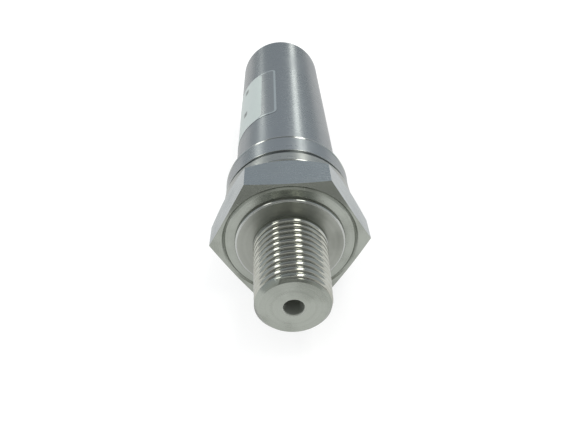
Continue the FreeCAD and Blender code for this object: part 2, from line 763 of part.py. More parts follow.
def make_signal_chip():
    """Signal chip with bent leads along both of its long sides."""
    middle = BOARD_FRONT + BOARD_LENGTH * CHIP_SHARE
    package = box(S.chip_width, S.chip_length, S.chip_height, ZERO,
                  middle - S.chip_length / 2, BOARD_TOP + S.chip_lead_thickness)
    items = [package]
    pitch = S.chip_length / CHIP_LEADS_PER_SIDE
    lead = S.chip_lead_thickness
    knee = S.chip_lead_reach / 2
    arm_z = BOARD_TOP + S.chip_height / 2
    for side in (1, -1):
        arm_x = (S.chip_width / 2 + knee / 2) * side
        leg_x = (S.chip_width / 2 + knee + lead / 2) * side
        toe_x = (S.chip_width / 2 + knee + knee / 2) * side
        for step in range(CHIP_LEADS_PER_SIDE):
            y = middle + pitch * (step - (CHIP_LEADS_PER_SIDE - 1) / 2) - S.chip_lead_width / 2
            items.append(box(knee, S.chip_lead_width, lead, arm_x, y, arm_z))
            items.append(box(lead, S.chip_lead_width, S.chip_height / 2 + lead, leg_x, y, BOARD_TOP))
            items.append(box(knee, S.chip_lead_width, lead, toe_x, y, BOARD_TOP))
    register(fuse(items), "signal_chip")


def make_transistor():
    """Output transistor with its cooling tab flat on the underside of the board."""
    package = on_board(S.transistor_width, S.transistor_length, S.transistor_height,
                       ZERO, TRANSISTOR_SHARE, False)
    tab_y = BOARD_FRONT + BOARD_LENGTH * TRANSISTOR_SHARE + S.transistor_length / 2
    tab = box(S.transistor_tab_width, S.transistor_tab, S.transistor_tab_thickness, ZERO,
              tab_y, -BOARD_TOP - S.transistor_tab_thickness)
    register(fuse([package, tab]), "output_transistor")


def make_ground_clip():
    """Bent spring strip from the board's underside to the case's bore."""
    body = new_body("ground_clip")
    sketch = start_sketch(body, "YZ_Plane")
    front = BOARD_FRONT + BOARD_LENGTH * CLIP_SHARE - S.clip_length / 2
    top = -BOARD_TOP
    bottom = -(CASE_BORE - S.clip_clearance - S.clip_thickness)
    path = [(ZERO, top - S.clip_thickness), (S.clip_length * CLIP_HEEL, top - S.clip_thickness),
            (S.clip_length * CLIP_BEND, bottom), (S.clip_length, bottom + S.clip_toe_rise)]
    upper = [(front + along, height + S.clip_thickness) for along, height in path]
    lower = [(front + along, height) for along, height in reversed(path)]
    add_outline(sketch, upper + lower)
    strip = body.newObject("PartDesign::Pad", "Strip")
    strip.Profile = sketch
    strip.Midplane = True
    bind(strip, "Length", S.clip_width)


# ---------------------------------------------------------------- wires
def rounded_path(points, bend):
    """Straight runs joined by tangent arcs of one radius."""
    edges = []
    start = points[0]
    for before, corner, after in zip(points, points[1:], points[2:]):
        into = (corner - before).normalize()
        out = (after - corner).normalize()
        turn = into.getAngle(out)
        reach = bend * math.tan(turn / 2)
        bisector = (out - into).normalize()
        centre = corner + bisector * (bend / math.cos(turn / 2))
        arc_start = corner - into * reach
        arc_end = corner + out * reach
        middle = centre - bisector * bend
        edges.append(Part.LineSegment(start, arc_start).toShape())
        edges.append(Part.Arc(arc_start, middle, arc_end).toShape())
        start = arc_end
    edges.append(Part.LineSegment(start, points[-1]).toShape())
    return Part.Wire(edges)


def wire_group(label, radius, routes):
    """Insulated wires, each swept along its own route with a six-sided section."""
    tubes = []
    for points in routes:
        path = rounded_path(points, radius.number * WIRE_BEND)
        corners = [Vector(x, 0, z) + points[0] for x, z in around(radius.number, 6)]
        section = Part.makePolygon(corners + corners[:1])
        tubes.append(path.makePipeShell([section], True, True))
    obj = doc.addObject("Part::Feature", label)
    obj.Shape = Part.makeCompound(tubes)
    obj.Placement = Placement()
    register(obj, label)


def wire_route(pin, pin_end, direction, spread, radius, holder_near, holder_far):
    """Points of one wire: off its pin, down to the board's face and past the holder."""
    x, z = (place_on_circle.number for place_on_circle in pin)
    height = (BOARD_TOP + radius + S.wire_lift).number
    if z < -NEAR:
        height = -height
    lead_end = pin_end + S.wire_lead * direction
    entry = holder_near - S.wire_entry * direction
    landing = holder_far + S.wire_landing * direction
    return [
        Vector(x, pin_end.number, z), Vector(x, lead_end.number, z),
        Vector(x * spread, entry.number, height), Vector(x * spread, landing.number, height)]


def make_wires():
    """Wires from the header pins to the board and from the board to the plug's contacts."""
    front_holder_back = SPIGOT_END + S.holder_length
    wire_group("sensor_wires", S.sensor_wire_radius, [
        wire_route(pin, HEADER_PIN_END, 1, SENSOR_WIRE_SPREAD, S.sensor_wire_radius,
                   SPIGOT_END, front_holder_back) for pin in PIN_PLACES])
    wire_group("plug_wires", S.plug_wire_radius, [
        wire_route(pin, CONTACT_END, -1, PLUG_WIRE_SPREAD, S.plug_wire_radius,
                   REAR_HOLDER_BACK, REAR_HOLDER_FRONT) for pin in CONTACT_PLACES])


# ---------------------------------------------------------------- sticker
def make_label():
    """Thin sticker wrapped round one side of the case, with rounded corners."""
    body = new_body("label")
    front = CASE_FRONT + S.label_start
    sticker = turned(body, "Revolution",
                     ring(S.case_radius, S.case_radius + S.label_thickness,
                          front, front + S.label_length))
    sticker.Midplane = True
    bind(sticker, "Angle", S.label_angle)
    doc.recompute()
    corners = [f"Edge{index}" for index, edge in enumerate(sticker.Shape.Edges, start=1)
               if abs(edge.Length - S.label_thickness.number) < NEAR]
    rounding = body.newObject("PartDesign::Fillet", "RoundedCorners")
    rounding.Base = (sticker, corners)
    bind(rounding, "Radius", S.label_corner)
    place(body, turn=Rotation(Vector(0, 1, 0), 180))


PIN_PLACES = around(S.pin_circle_radius, HEADER_PINS)
CONTACT_PLACES = around(S.contact_circle_radius, CONTACTS)

make_process_connection()
make_capsule()
make_header()
make_retainer()
make_ceramic()
make_case()
make_end_cap()
make_plug_shell()
make_contacts()
make_board()
make_board_parts()
make_ground_clip()
make_wires()
make_label()
doc.recompute()

for item in doc.Objects:
    if "Invalid" in item.State or "Error" in item.State:
        raise RuntimeError(f"{item.Label} did not recompute: {item.State}")
for piece in pieces:
    if piece.Shape.isNull() or not piece.Shape.isValid():
        raise RuntimeError(f"{piece.Label} has no valid shape")

os.makedirs("parts", exist_ok=True)
for piece in pieces:
    piece.Shape.exportStep(f"parts/{piece.Label}.step")
    print(f"{piece.Label}: {len(piece.Shape.Solids)} solid, {piece.Shape.Volume:.1f} mm3")
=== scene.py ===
import json
import logging
import math
from collections.abc import Callable, Sequence
from dataclasses import dataclass
from enum import Enum

import bpy
from bpy.types import Material, Node, NodeSocket, NodeTree, Object
from mathutils import Matrix, Vector

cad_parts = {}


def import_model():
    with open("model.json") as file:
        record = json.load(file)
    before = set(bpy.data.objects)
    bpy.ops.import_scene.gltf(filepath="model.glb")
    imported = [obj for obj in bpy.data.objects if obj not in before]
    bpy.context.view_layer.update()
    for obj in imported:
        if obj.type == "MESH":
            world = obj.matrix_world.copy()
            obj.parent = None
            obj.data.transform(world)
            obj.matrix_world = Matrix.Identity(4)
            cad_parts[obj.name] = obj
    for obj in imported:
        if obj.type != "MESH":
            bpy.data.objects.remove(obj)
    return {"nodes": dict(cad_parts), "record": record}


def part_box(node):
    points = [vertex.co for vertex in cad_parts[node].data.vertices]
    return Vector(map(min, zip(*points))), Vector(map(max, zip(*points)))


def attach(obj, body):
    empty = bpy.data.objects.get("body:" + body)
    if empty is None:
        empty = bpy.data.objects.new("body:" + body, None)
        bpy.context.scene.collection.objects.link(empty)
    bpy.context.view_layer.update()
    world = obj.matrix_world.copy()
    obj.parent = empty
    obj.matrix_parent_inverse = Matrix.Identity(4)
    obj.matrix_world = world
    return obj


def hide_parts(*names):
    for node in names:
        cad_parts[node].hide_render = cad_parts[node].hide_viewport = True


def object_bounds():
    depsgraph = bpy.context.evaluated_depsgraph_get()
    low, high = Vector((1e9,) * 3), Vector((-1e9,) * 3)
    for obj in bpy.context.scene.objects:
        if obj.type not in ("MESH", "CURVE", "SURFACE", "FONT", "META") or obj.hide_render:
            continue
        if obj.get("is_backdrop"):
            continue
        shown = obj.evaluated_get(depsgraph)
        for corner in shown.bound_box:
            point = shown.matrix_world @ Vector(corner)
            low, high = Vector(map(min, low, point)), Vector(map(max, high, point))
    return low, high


MM = 0.001
TURN = 2 * math.pi
RIGHT_ANGLE = math.pi / 2

log = logging.getLogger("pressure_transmitter")

Point = tuple[float, float, float]
Colour = tuple[float, float, float]
Profile = Sequence[tuple[float, float]]


class Slot(Enum):
    """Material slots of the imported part."""

    TURNED = "stainless_turned"
    CASE = "stainless_case"
    BRASS = "nickel_brass"
    LABEL = "label_film"
    SEAL = "seal_rubber"
    CAPSULE = "capsule_steel"
    FOIL = "diaphragm_foil"
    GOLD = "gold_plate"
    GLASS = "bead_glass"
    SILICON = "silicon"
    CERAMIC = "ceramic_white"
    CHIP = "chip_black"
    CHIP_TAN = "chip_tan"
    BOARD = "board_green"
    FERRITE = "ferrite_grey"
    SPRING = "spring_bronze"
    HOLDER = "holder_plastic"
    CARRIER = "carrier_plastic"
    WIRE = "wire_jacket"


class Combine(Enum):
    """How two closed meshes are put together."""

    JOIN = "UNION"
    CUT = "DIFFERENCE"
    OVERLAP = "INTERSECT"


# ---------------------------------------------------------------- shader expressions
class Value:
    """A number that varies over a surface, held as a socket and used with Python's operators."""

    def __init__(self, graph: "Graph", socket: NodeSocket) -> None:
        """Keep the socket and the graph that new nodes go into."""
        self.graph = graph
        self.socket = socket

    def __add__(self, other: "Number") -> "Value":
        """Add two numbers."""
        return self.graph.math("ADD", self, other)

    __radd__ = __add__

    def __sub__(self, other: "Number") -> "Value":
        """Take a number away."""
        return self.graph.math("SUBTRACT", self, other)

    def __rsub__(self, other: "Number") -> "Value":
        """Take this away from a number."""
        return self.graph.math("SUBTRACT", other, self)

    def __mul__(self, other: "Number") -> "Value":
        """Multiply two numbers."""
        return self.graph.math("MULTIPLY", self, other)

    __rmul__ = __mul__

    def __truediv__(self, other: "Number") -> "Value":
        """Divide by a number."""
        return self.graph.math("DIVIDE", self, other)

    def __pow__(self, other: "Number") -> "Value":
        """Raise to a power."""
        return self.graph.math("POWER", self, other)

    def __abs__(self) -> "Value":
        """Drop the sign."""
        return self.graph.math("ABSOLUTE", self)

    def over(self, edge: "Number") -> "Value":
        """One where this is greater than the edge, else nought."""
        return self.graph.math("GREATER_THAN", self, edge)

    def at_least(self, other: "Number") -> "Value":
        """The greater of two numbers."""
        return self.graph.math("MAXIMUM", self, other)

    def at_most(self, other: "Number") -> "Value":
        """The smaller of two numbers."""
        return self.graph.math("MINIMUM", self, other)

    def step(self, low: float, high: float) -> "Value":
        """Rise smoothly from nought to one between two bounds."""
        return self.graph.math("SMOOTHSTEP", self, low, high)


Number = Value | float | int


class Graph:
    """Nodes of one material or world, made by one method and joined by expressions."""

    def __init__(self, tree: NodeTree) -> None:
        """Start from an empty node tree."""
        self.tree = tree
        tree.nodes.clear()

    def node(self, kind: str, settings: dict | None = None, **inputs: object) -> Node:
        """Add a node.

        Args:
            kind: The node's type.
            settings: Properties of the node, set before its sockets; "stops" fills a ramp.
            inputs: Values or links by socket name, with _ for a space, or by in0, in1 and so on.

        Returns:
            The new node.
        """
        node = self.tree.nodes.new(kind)
        for key, value in (settings or {}).items():
            if key == "stops":
                self.fill_ramp(node, value)
            else:
                setattr(node, key, value)
        for key, value in inputs.items():
            if key[:2] == "in" and key[2:].isdigit():
                socket = node.inputs[int(key[2:])]
            else:
                socket = node.inputs[key.replace("_", " ")]
            self.feed(socket, value)
        return node

    def feed(self, socket: NodeSocket, value: object) -> None:
        """Set a socket's own value, or link it.

        Args:
            socket: The input that is fed.
            value: An expression or an output to link, or the value itself.
        """
        if isinstance(value, Value):
            self.tree.links.new(value.socket, socket)
        elif isinstance(value, NodeSocket):
            self.tree.links.new(value, socket)
        elif isinstance(value, tuple) and socket.type == "RGBA":
            socket.default_value = (*value, 1.0)
        else:
            socket.default_value = value

    @staticmethod
    def fill_ramp(node: Node, stops: Sequence[tuple[float, Colour]]) -> None:
        """Give a colour ramp its stops.

        Args:
            node: The ramp.
            stops: (place, colour) of each stop.
        """
        elements = node.color_ramp.elements
        while len(elements) < len(stops):
            elements.new(0.5)
        for element, (place, colour) in zip(elements, stops):
            element.position = place
            element.color = (*colour, 1.0)

    def math(self, operation: str, *values: Number) -> Value:
        """Work out one step of arithmetic.

        Args:
            operation: Name of the operation; SMOOTHSTEP takes the value and its two bounds.
            values: The numbers that it works on.

        Returns:
            The result.
        """
        if operation == "SMOOTHSTEP":
            node = self.node("ShaderNodeMapRange", {"interpolation_type": "SMOOTHSTEP"},
                             in0=values[0], in1=values[1], in2=values[2])
        else:
            inputs = {f"in{index}": value for index, value in enumerate(values)}
            node = self.node("ShaderNodeMath", {"operation": operation}, **inputs)
        return Value(self, node.outputs[0])

    def mix(self, factor: Number, first: object, second: object) -> NodeSocket:
        """Mix two colours; a factor of one gives the second."""
        node = self.node("ShaderNodeMix", {"data_type": "RGBA"}, in0=factor, in6=first, in7=second)
        return node.outputs[2]

    def object_place(self) -> NodeSocket:
        """Place on the object, in its own coordinates."""
        return self.node("ShaderNodeTexCoord").outputs["Object"]

    def split(self, vector: NodeSocket) -> tuple[Value, Value, Value]:
        """Split a vector into its three numbers."""
        outputs = self.node("ShaderNodeSeparateXYZ", None, Vector=vector).outputs
        return Value(self, outputs[0]), Value(self, outputs[1]), Value(self, outputs[2])

    def stretched(self, scale: Point) -> NodeSocket:
        """Object place, scaled along each axis by given factors."""
        mapping = self.node("ShaderNodeMapping", None, Vector=self.object_place(), Scale=scale)
        return mapping.outputs[0]

    def noise(self, place: NodeSocket, scale: float, detail: float = 3.0) -> Value:
        """Cloudy noise between nought and one.

        Args:
            place: Vector that it follows.
            scale: Features per metre.
            detail: Number of finer layers.

        Returns:
            The noise.
        """
        node = self.node("ShaderNodeTexNoise", None, Vector=place, Scale=scale, Detail=detail)
        return Value(self, node.outputs[0])

    def streaks(self, along: Value, scale: float, detail: float = 4.0) -> Value:
        """Noise that changes with one number only.

        Args:
            along: The number that it follows, in metres.
            scale: Features per metre.
            detail: Number of finer layers.

        Returns:
            The noise.
        """
        node = self.node("ShaderNodeTexNoise", {"noise_dimensions": "1D"}, W=along, Scale=scale,
                         Detail=detail)
        return Value(self, node.outputs[0])

    def bump(self, height: Value, distance: float, strength: float = 1.0) -> NodeSocket:
        """Turn a height between nought and one into a bumped normal, at a real depth."""
        node = self.node("ShaderNodeBump", None, Height=height, Distance=distance,
                         Strength=strength)
        return node.outputs[0]

    def surface(self, **inputs: object) -> None:
        """Add the main shader, with its inputs by name, and link it to the output."""
        shader = self.node("ShaderNodeBsdfPrincipled", None, **inputs)
        self.node("ShaderNodeOutputMaterial", None, Surface=shader.outputs[0])


def new_graph(name: str) -> tuple[Material, Graph]:
    """Make an empty material.

    Args:
        name: Name of the material.

    Returns:
        The material and the graph of its nodes.
    """
    material = bpy.data.materials.new(name)
    material.use_nodes = True
    return material, Graph(material.node_tree)


# ---------------------------------------------------------------- finishes
@dataclass(frozen=True)
class TurnedMetal:
    """Bare or plated metal off a lathe, with fine tool marks round the Y axis.

    Attributes:
        name: Name of the finish.
        colour: Colour of clean metal.
        tint: Colour of the slightly stained patches.
        roughness: Mean roughness.
        mark_pitch: Spacing of the tool marks, in metres.
        mark_depth: Depth of the tool marks, in metres.
        patch: Size of the stained patches, in metres.
        edge: Colour that a glancing view takes on.
    """

    name: str
    colour: Colour
    tint: Colour
    roughness: float
    mark_pitch: float
    mark_depth: float
    patch: float = 6 * MM
    edge: Colour = (0.8, 0.8, 0.8)

    def material(self) -> Material:
        """Build the finish.

        Returns:
            The finish as a material.
        """
        material, graph = new_graph(self.name)
        place = graph.object_place()
        across, along, up = graph.split(place)
        radius = graph.math("SQRT", across * across + up * up)
        profile = radius + along
        marks = graph.streaks(profile, 1 / self.mark_pitch)
        broad = graph.streaks(profile, 0.2 / self.mark_pitch, 2.0)
        stains = graph.noise(place, 1 / self.patch, 5.0).step(0.42, 0.72)
        scuffs = graph.noise(graph.stretched((1.0, 0.25, 1.0)), 900.0, 4.0).step(0.55, 0.8)
        colour = graph.mix(stains * 0.5 + broad * 0.4, self.colour, self.tint)
        rough = self.roughness * (0.8 + 0.4 * broad) + 0.06 * scuffs + 0.05 * stains
        graph.surface(Base_Color=colour, Metallic=1.0, Roughness=rough,
                      Specular_Tint=self.edge,
                      Normal=graph.bump(marks * 0.5 + broad * 0.5, self.mark_depth))
        return material


@dataclass(frozen=True)
class MilledMetal:
    """Metal with fine straight marks along one direction, as a milled flat has.

    Attributes:
        name: Name of the finish.
        colour: Colour of clean metal.
        tint: Colour of the slightly stained patches.
        roughness: Mean roughness.
        grain: Scale of the marks along each axis, per metre.
        mark_depth: Depth of the marks, in metres.
        edge: Colour that a glancing view takes on.
    """

    name: str
    colour: Colour
    tint: Colour
    roughness: float
    grain: Point
    mark_depth: float
    edge: Colour = (0.8, 0.8, 0.8)

    def material(self) -> Material:
        """Build the finish.

        Returns:
            The finish as a material.
        """
        material, graph = new_graph(self.name)
        marks = graph.noise(graph.stretched(self.grain), 1.0, 4.0)
        stains = graph.noise(graph.object_place(), 160.0, 5.0).step(0.4, 0.75)
        colour = graph.mix(stains * 0.7 + marks * 0.2, self.colour, self.tint)
        rough = self.roughness * (0.75 + 0.5 * marks) + 0.05 * stains
        graph.surface(Base_Color=colour, Metallic=1.0, Roughness=rough,
                      Specular_Tint=self.edge,
                      Normal=graph.bump(marks, self.mark_depth))
        return material


@dataclass(frozen=True)
class Moulded:
    """Moulded plastic, rubber or ceramic with a fine skin.

    Attributes:
        name: Name of the finish.
        colour: Main colour.
        shade: Colour of the darker clouds.
        roughness: Mean roughness.
        skin: Size of the skin's grain, in metres.
        skin_depth: Depth of the grain, in metres.
    """

    name: str
    colour: Colour
    shade: Colour
    roughness: float
    skin: float = 0.25 * MM
    skin_depth: float = 0.01 * MM

    def material(self) -> Material:
        """Build the finish.

        Returns:
            The finish as a material.
        """
        material, graph = new_graph(self.name)
        place = graph.object_place()
        grain = graph.noise(place, 1 / self.skin, 4.0)
        clouds = graph.noise(place, 0.1 / self.skin, 3.0)
        colour = graph.mix(clouds.step(0.3, 0.7), self.colour, self.shade)
        graph.surface(Base_Color=colour, Roughness=self.roughness * (0.8 + 0.4 * grain),
                      Normal=graph.bump(grain, self.skin_depth))
        return material


@dataclass(frozen=True)
class Laminate:
    """Circuit board laminate with copper tracks under its green lacquer.

    Attributes:
        name: Name of the finish.
        colour: Colour of the lacquer.
        track: Colour over a track.
        track_pitch: Spacing of the tracks, in metres.
    """

    name: str
    colour: Colour
    track: Colour
    track_pitch: float

    def material(self) -> Material:
        """Build the finish.

        Returns:
            The finish as a material.
        """
        material, graph = new_graph(self.name)
        place = graph.object_place()
        across, along, _up = graph.split(place)
        bend = graph.noise(place, 120.0, 1.0)
        lanes = graph.math("PINGPONG", across + 2 * MM * bend.over(0.5), self.track_pitch)
        tracks = (lanes / self.track_pitch).over(0.6) * graph.noise(place, 90.0, 1.0).over(0.45)
        weave = graph.math("SINE", along * 9000.0) * graph.math("SINE", across * 9000.0)
        graph.surface(Base_Color=graph.mix(tracks, self.colour, self.track),
                      Roughness=0.35 + 0.08 * weave,
                      Normal=graph.bump(tracks + 0.1 * weave, 0.03 * MM))
        return material


@dataclass(frozen=True)
class Glass:
    """Fused glass bead, slightly clouded.

    Attributes:
        name: Name of the finish.
        colour: Colour of the glass.
    """

    name: str
    colour: Colour

    def material(self) -> Material:
        """Build the finish.

        Returns:
            The finish as a material.
        """
        material, graph = new_graph(self.name)
        clouds = graph.noise(graph.object_place(), 2500.0, 3.0)
        graph.surface(Base_Color=graph.mix(clouds, self.colour, (0.02, 0.05, 0.03)),
                      Roughness=0.08 + 0.1 * clouds, Coat_Weight=0.5,
                      Normal=graph.bump(clouds, 0.01 * MM))
        return material


@dataclass(frozen=True)
class StickerFilm:
    """Silver-grey metallised film with a white field and a thin pale border.

    Attributes:
        name: Name of the finish.
        radius: Radius of the film's face, in metres.
        middle: Station of the film's middle, in metres.
        half_length: Half the film's length along the axis, in metres.
        half_turn: Half the angle that the film covers, in degrees.
        field_turn: Half the angle that the white field covers, in degrees.
        field_length: Half the field's length along the axis, in metres.

    The constants are the outline's corner radii, how far in from the outline the border starts
    and ends, the places and sizes of the two plain printed marks, and the colours.
    """

    name: str
    radius: float
    middle: float
    half_length: float
    half_turn: float
    field_turn: float
    field_length: float

    CORNER = 1.5 * MM
    FIELD_CORNER = 2.2 * MM
    BORDER_OUTER = (0.1 * MM, 0.2 * MM)
    BORDER_INNER = (0.6 * MM, 0.75 * MM)
    MARK_STATIONS = (9.6 * MM, -4.2 * MM)
    MARK_INSET = 5.6 * MM
    MARK_HALF_SIZE = (0.7 * MM, 1.2 * MM)
    MARK_CORNER = 0.4 * MM
    MARK_BLUR = 0.25 * MM

    SILVER = (0.36, 0.375, 0.38)
    WHITE = (0.4, 0.45, 0.44)
    FIBRE = (0.365, 0.41, 0.4)
    BORDER = (0.58, 0.62, 0.62)
    MARK = (0.05, 0.06, 0.055)

    def inside(self, around: Value, along: Value, half_width: float, half_length: float,
               corner: float) -> Value:
        """Depth inside a rounded rectangle on the unrolled film, in metres.

        Args:
            around: Distance round the case from the film's middle.
            along: Distance along the axis from the film's middle.
            half_width: Half the rectangle's width round the case.
            half_length: Half its length.
            corner: Radius of its corners.

        Returns:
            The distance to the outline, greater than nought inside it.
        """
        side = abs(around) - (half_width - corner)
        end = abs(along) - (half_length - corner)
        outside = (side.at_least(0.0) ** 2 + end.at_least(0.0) ** 2) ** 0.5
        return corner - (outside + side.at_least(end).at_most(0.0))

    def material(self) -> Material:
        """Build the finish.

        Returns:
            The finish as a material.
        """
        material, graph = new_graph(self.name)
        place = graph.object_place()
        across, along, up = graph.split(place)
        turn = graph.math("ARCTAN2", up, -1.0 * across)
        around = turn * self.radius
        along = along - self.middle
        film_width = math.radians(self.half_turn) * self.radius
        field_width = math.radians(self.field_turn) * self.radius
        edge = self.inside(around, along, film_width, self.half_length, self.CORNER)
        border = edge.step(*self.BORDER_OUTER) * (1 - edge.step(*self.BORDER_INNER))
        field = self.inside(around, along, field_width, self.field_length, self.FIELD_CORNER)
        field = field.step(-0.04 * MM, 0.04 * MM)
        colour = graph.mix(border, self.SILVER, self.BORDER)
        fibres = graph.noise(place, 2200.0, 4.0)
        white = graph.mix(fibres * 0.25, self.WHITE, self.FIBRE)
        colour = graph.mix(field, colour, white)
        for station in self.MARK_STATIONS:
            mark = self.inside(around - (field_width - self.MARK_INSET), along - station,
                               *self.MARK_HALF_SIZE, self.MARK_CORNER)
            print_density = mark.step(-self.MARK_BLUR, self.MARK_BLUR) * 0.85
            colour = graph.mix(print_density, colour, self.MARK)
        ripple = graph.noise(place, 350.0, 2.0)
        graph.surface(Base_Color=colour, Metallic=1 - field,
                      Roughness=0.24 + 0.12 * field + 0.08 * ripple, Specular_Tint=(0.7, 0.7, 0.7),
                      Normal=graph.bump(ripple + 0.05 * fibres, 0.02 * MM))
        return material


STEEL = (0.37, 0.39, 0.355)
STEEL_TINT = (0.26, 0.275, 0.245)
CASE_STEEL = (0.37, 0.39, 0.4)

FINISHES = {
    Slot.TURNED: TurnedMetal("turned_steel", STEEL, STEEL_TINT, 0.23, 0.14 * MM, 0.008 * MM,
                             edge=(0.75, 0.75, 0.75)),
    Slot.CASE: TurnedMetal("case_steel", CASE_STEEL, (0.34, 0.36, 0.375), 0.27, 0.1 * MM,
                           0.0008 * MM, 14 * MM, (0.6, 0.6, 0.6)),
    Slot.BRASS: TurnedMetal("nickel_plated_brass", (0.6, 0.57, 0.5), (0.5, 0.46, 0.38), 0.22,
                            0.12 * MM, 0.003 * MM),
    Slot.CAPSULE: TurnedMetal("capsule_steel", (0.5, 0.5, 0.49), (0.4, 0.4, 0.39), 0.25,
                              0.12 * MM, 0.003 * MM),
    Slot.FOIL: TurnedMetal("diaphragm_foil", (0.62, 0.62, 0.6), (0.5, 0.5, 0.48), 0.15,
                           0.8 * MM, 0.01 * MM),
    Slot.GOLD: TurnedMetal("gold_plate", (0.83, 0.6, 0.25), (0.7, 0.48, 0.2), 0.18,
                           0.06 * MM, 0.001 * MM, 2 * MM),
    Slot.SPRING: MilledMetal("spring_bronze", (0.6, 0.42, 0.24), (0.48, 0.33, 0.2), 0.3,
                             (3000.0, 300.0, 3000.0), 0.004 * MM),
    Slot.SEAL: Moulded("seal_rubber", (0.012, 0.012, 0.013), (0.02, 0.02, 0.02), 0.55),
    Slot.GLASS: Glass("bead_glass", (0.03, 0.09, 0.05)),
    Slot.SILICON: Moulded("silicon", (0.1, 0.11, 0.14), (0.06, 0.07, 0.1), 0.12),
    Slot.CERAMIC: Moulded("ceramic_white", (0.72, 0.7, 0.66), (0.64, 0.62, 0.58), 0.5),
    Slot.CHIP: Moulded("chip_black", (0.02, 0.02, 0.022), (0.03, 0.03, 0.03), 0.5),
    Slot.CHIP_TAN: Moulded("chip_tan", (0.42, 0.29, 0.17), (0.34, 0.23, 0.13), 0.4),
    Slot.BOARD: Laminate("board_green", (0.01, 0.09, 0.03), (0.02, 0.16, 0.05), 0.9 * MM),
    Slot.FERRITE: Moulded("ferrite_grey", (0.06, 0.06, 0.065), (0.09, 0.09, 0.09), 0.6),
    Slot.HOLDER: Moulded("holder_plastic", (0.03, 0.03, 0.035), (0.04, 0.04, 0.045), 0.45),
    Slot.CARRIER: Moulded("carrier_plastic", (0.018, 0.018, 0.02), (0.03, 0.03, 0.032), 0.42),
    Slot.WIRE: Moulded("wire_jacket", (0.5, 0.05, 0.03), (0.42, 0.04, 0.03), 0.4),
}

BOSS_STEEL = TurnedMetal("boss_steel", (0.35, 0.36, 0.33), (0.24, 0.25, 0.225), 0.34,
                         0.22 * MM, 0.014 * MM, edge=(0.75, 0.75, 0.75))
COLLAR_STEEL = TurnedMetal("collar_steel", (0.39, 0.4, 0.385), (0.35, 0.355, 0.335), 0.3,
                           0.14 * MM, 0.003 * MM, edge=(0.75, 0.75, 0.75))
# Finish of the bore: rough, as drilled, and far lighter than the bar's steel, which paints light
# into the bore.
BORE_STEEL_PAINTED_LIGHT = TurnedMetal("drilled_steel_painted_light", (0.6, 0.62, 0.58), (0.5, 0.52, 0.48), 0.6,
                         0.2 * MM, 0.004 * MM)
THREAD_STEEL = TurnedMetal("threaded_steel", (0.45, 0.46, 0.42), (0.37, 0.365, 0.325), 0.14,
                           0.18 * MM, 0.002 * MM, 3 * MM)
# Finish of rounded edges and the case's bead: smoother than the steel beside them, and lighter in
# colour, which paints part of their highlight.
BURNISHED_HIGHLIGHT = TurnedMetal("burnished_edge_painted_highlight", (0.46, 0.475, 0.46), (0.42, 0.43, 0.41), 0.12,
                        0.14 * MM, 0.001 * MM)
MILLED = MilledMetal("milled_steel", (0.38, 0.41, 0.415), (0.34, 0.365, 0.375), 0.26,
                     (250.0, 3500.0, 250.0), 0.001 * MM)


# ---------------------------------------------------------------- modelling bench
MERGE_DISTANCE = 0.002 * MM
CUT_TOLERANCE = 0.0002 * MM
# How far a cutting or joining shape reaches past the face that it meets.
SPARE = 1.0 * MM
# Edges that bend by more than this are rounded.
SHARP_EDGE = math.radians(28)
# Segments in each turn of a thread.
THREAD_STEPS = 96


def select_only(piece: Object) -> None:
    """Make one piece the active and only selected object.

    Args:
        piece: The piece.
    """
    bpy.ops.object.select_all(action="DESELECT")
    piece.select_set(True)
    bpy.context.view_layer.objects.active = piece


def edit(piece: Object) -> None:
    """Open a piece in edit mode with all of it selected.

    Args:
        piece: The piece.
    """
    select_only(piece)
    bpy.ops.object.mode_set(mode="EDIT")
    bpy.ops.mesh.select_all(action="SELECT")


def close_mesh() -> None:
    """Merge doubles of the piece in edit mode, turn its faces outwards and leave the mode."""
    bpy.ops.mesh.select_all(action="SELECT")
    bpy.ops.mesh.remove_doubles(threshold=MERGE_DISTANCE)
    bpy.ops.mesh.normals_make_consistent(inside=False)
    bpy.ops.object.mode_set(mode="OBJECT")


def turned(name: str, rings: Profile, segments: int = 128, closed: bool = False) -> Object:
    """Turn a profile about the Y axis by extruding a circle from ring to ring.

    Args:
        name: Name of the new piece.
        rings: (station, radius) of each ring, in metres.
        segments: Number of sides.
        closed: Join the last ring to the first; otherwise both ends are capped.

    Returns:
        The closed piece.
    """
    bpy.ops.object.select_all(action="DESELECT")
    station, radius = rings[0]
    bpy.ops.mesh.primitive_circle_add(vertices=segments, radius=radius, location=(0, station, 0),
                                      rotation=(RIGHT_ANGLE, 0, 0),
                                      fill_type="NOTHING" if closed else "NGON")
    piece = bpy.context.object
    piece.name = name
    bpy.ops.object.transform_apply(location=True, rotation=True, scale=True)
    edit(piece)
    if not closed:
        bpy.ops.mesh.duplicate()
        bpy.ops.mesh.delete(type="ONLY_FACE")
        bpy.ops.mesh.select_all(action="DESELECT")
        bpy.ops.mesh.select_non_manifold(extend=False, use_wire=True, use_boundary=False,
                                         use_multi_face=False, use_non_contiguous=False,
                                         use_verts=False)
    for next_station, next_radius in list(rings[1:]) + ([rings[0]] if closed else []):
        bpy.ops.mesh.extrude_edges_move(
            TRANSFORM_OT_translate={"value": (0, next_station - station, 0)})
        scale = next_radius / radius
        bpy.ops.transform.resize(value=(scale, 1, scale), center_override=(0, next_station, 0))
        station, radius = next_station, next_radius
    if not closed:
        bpy.ops.mesh.edge_face_add()
    close_mesh()
    return piece


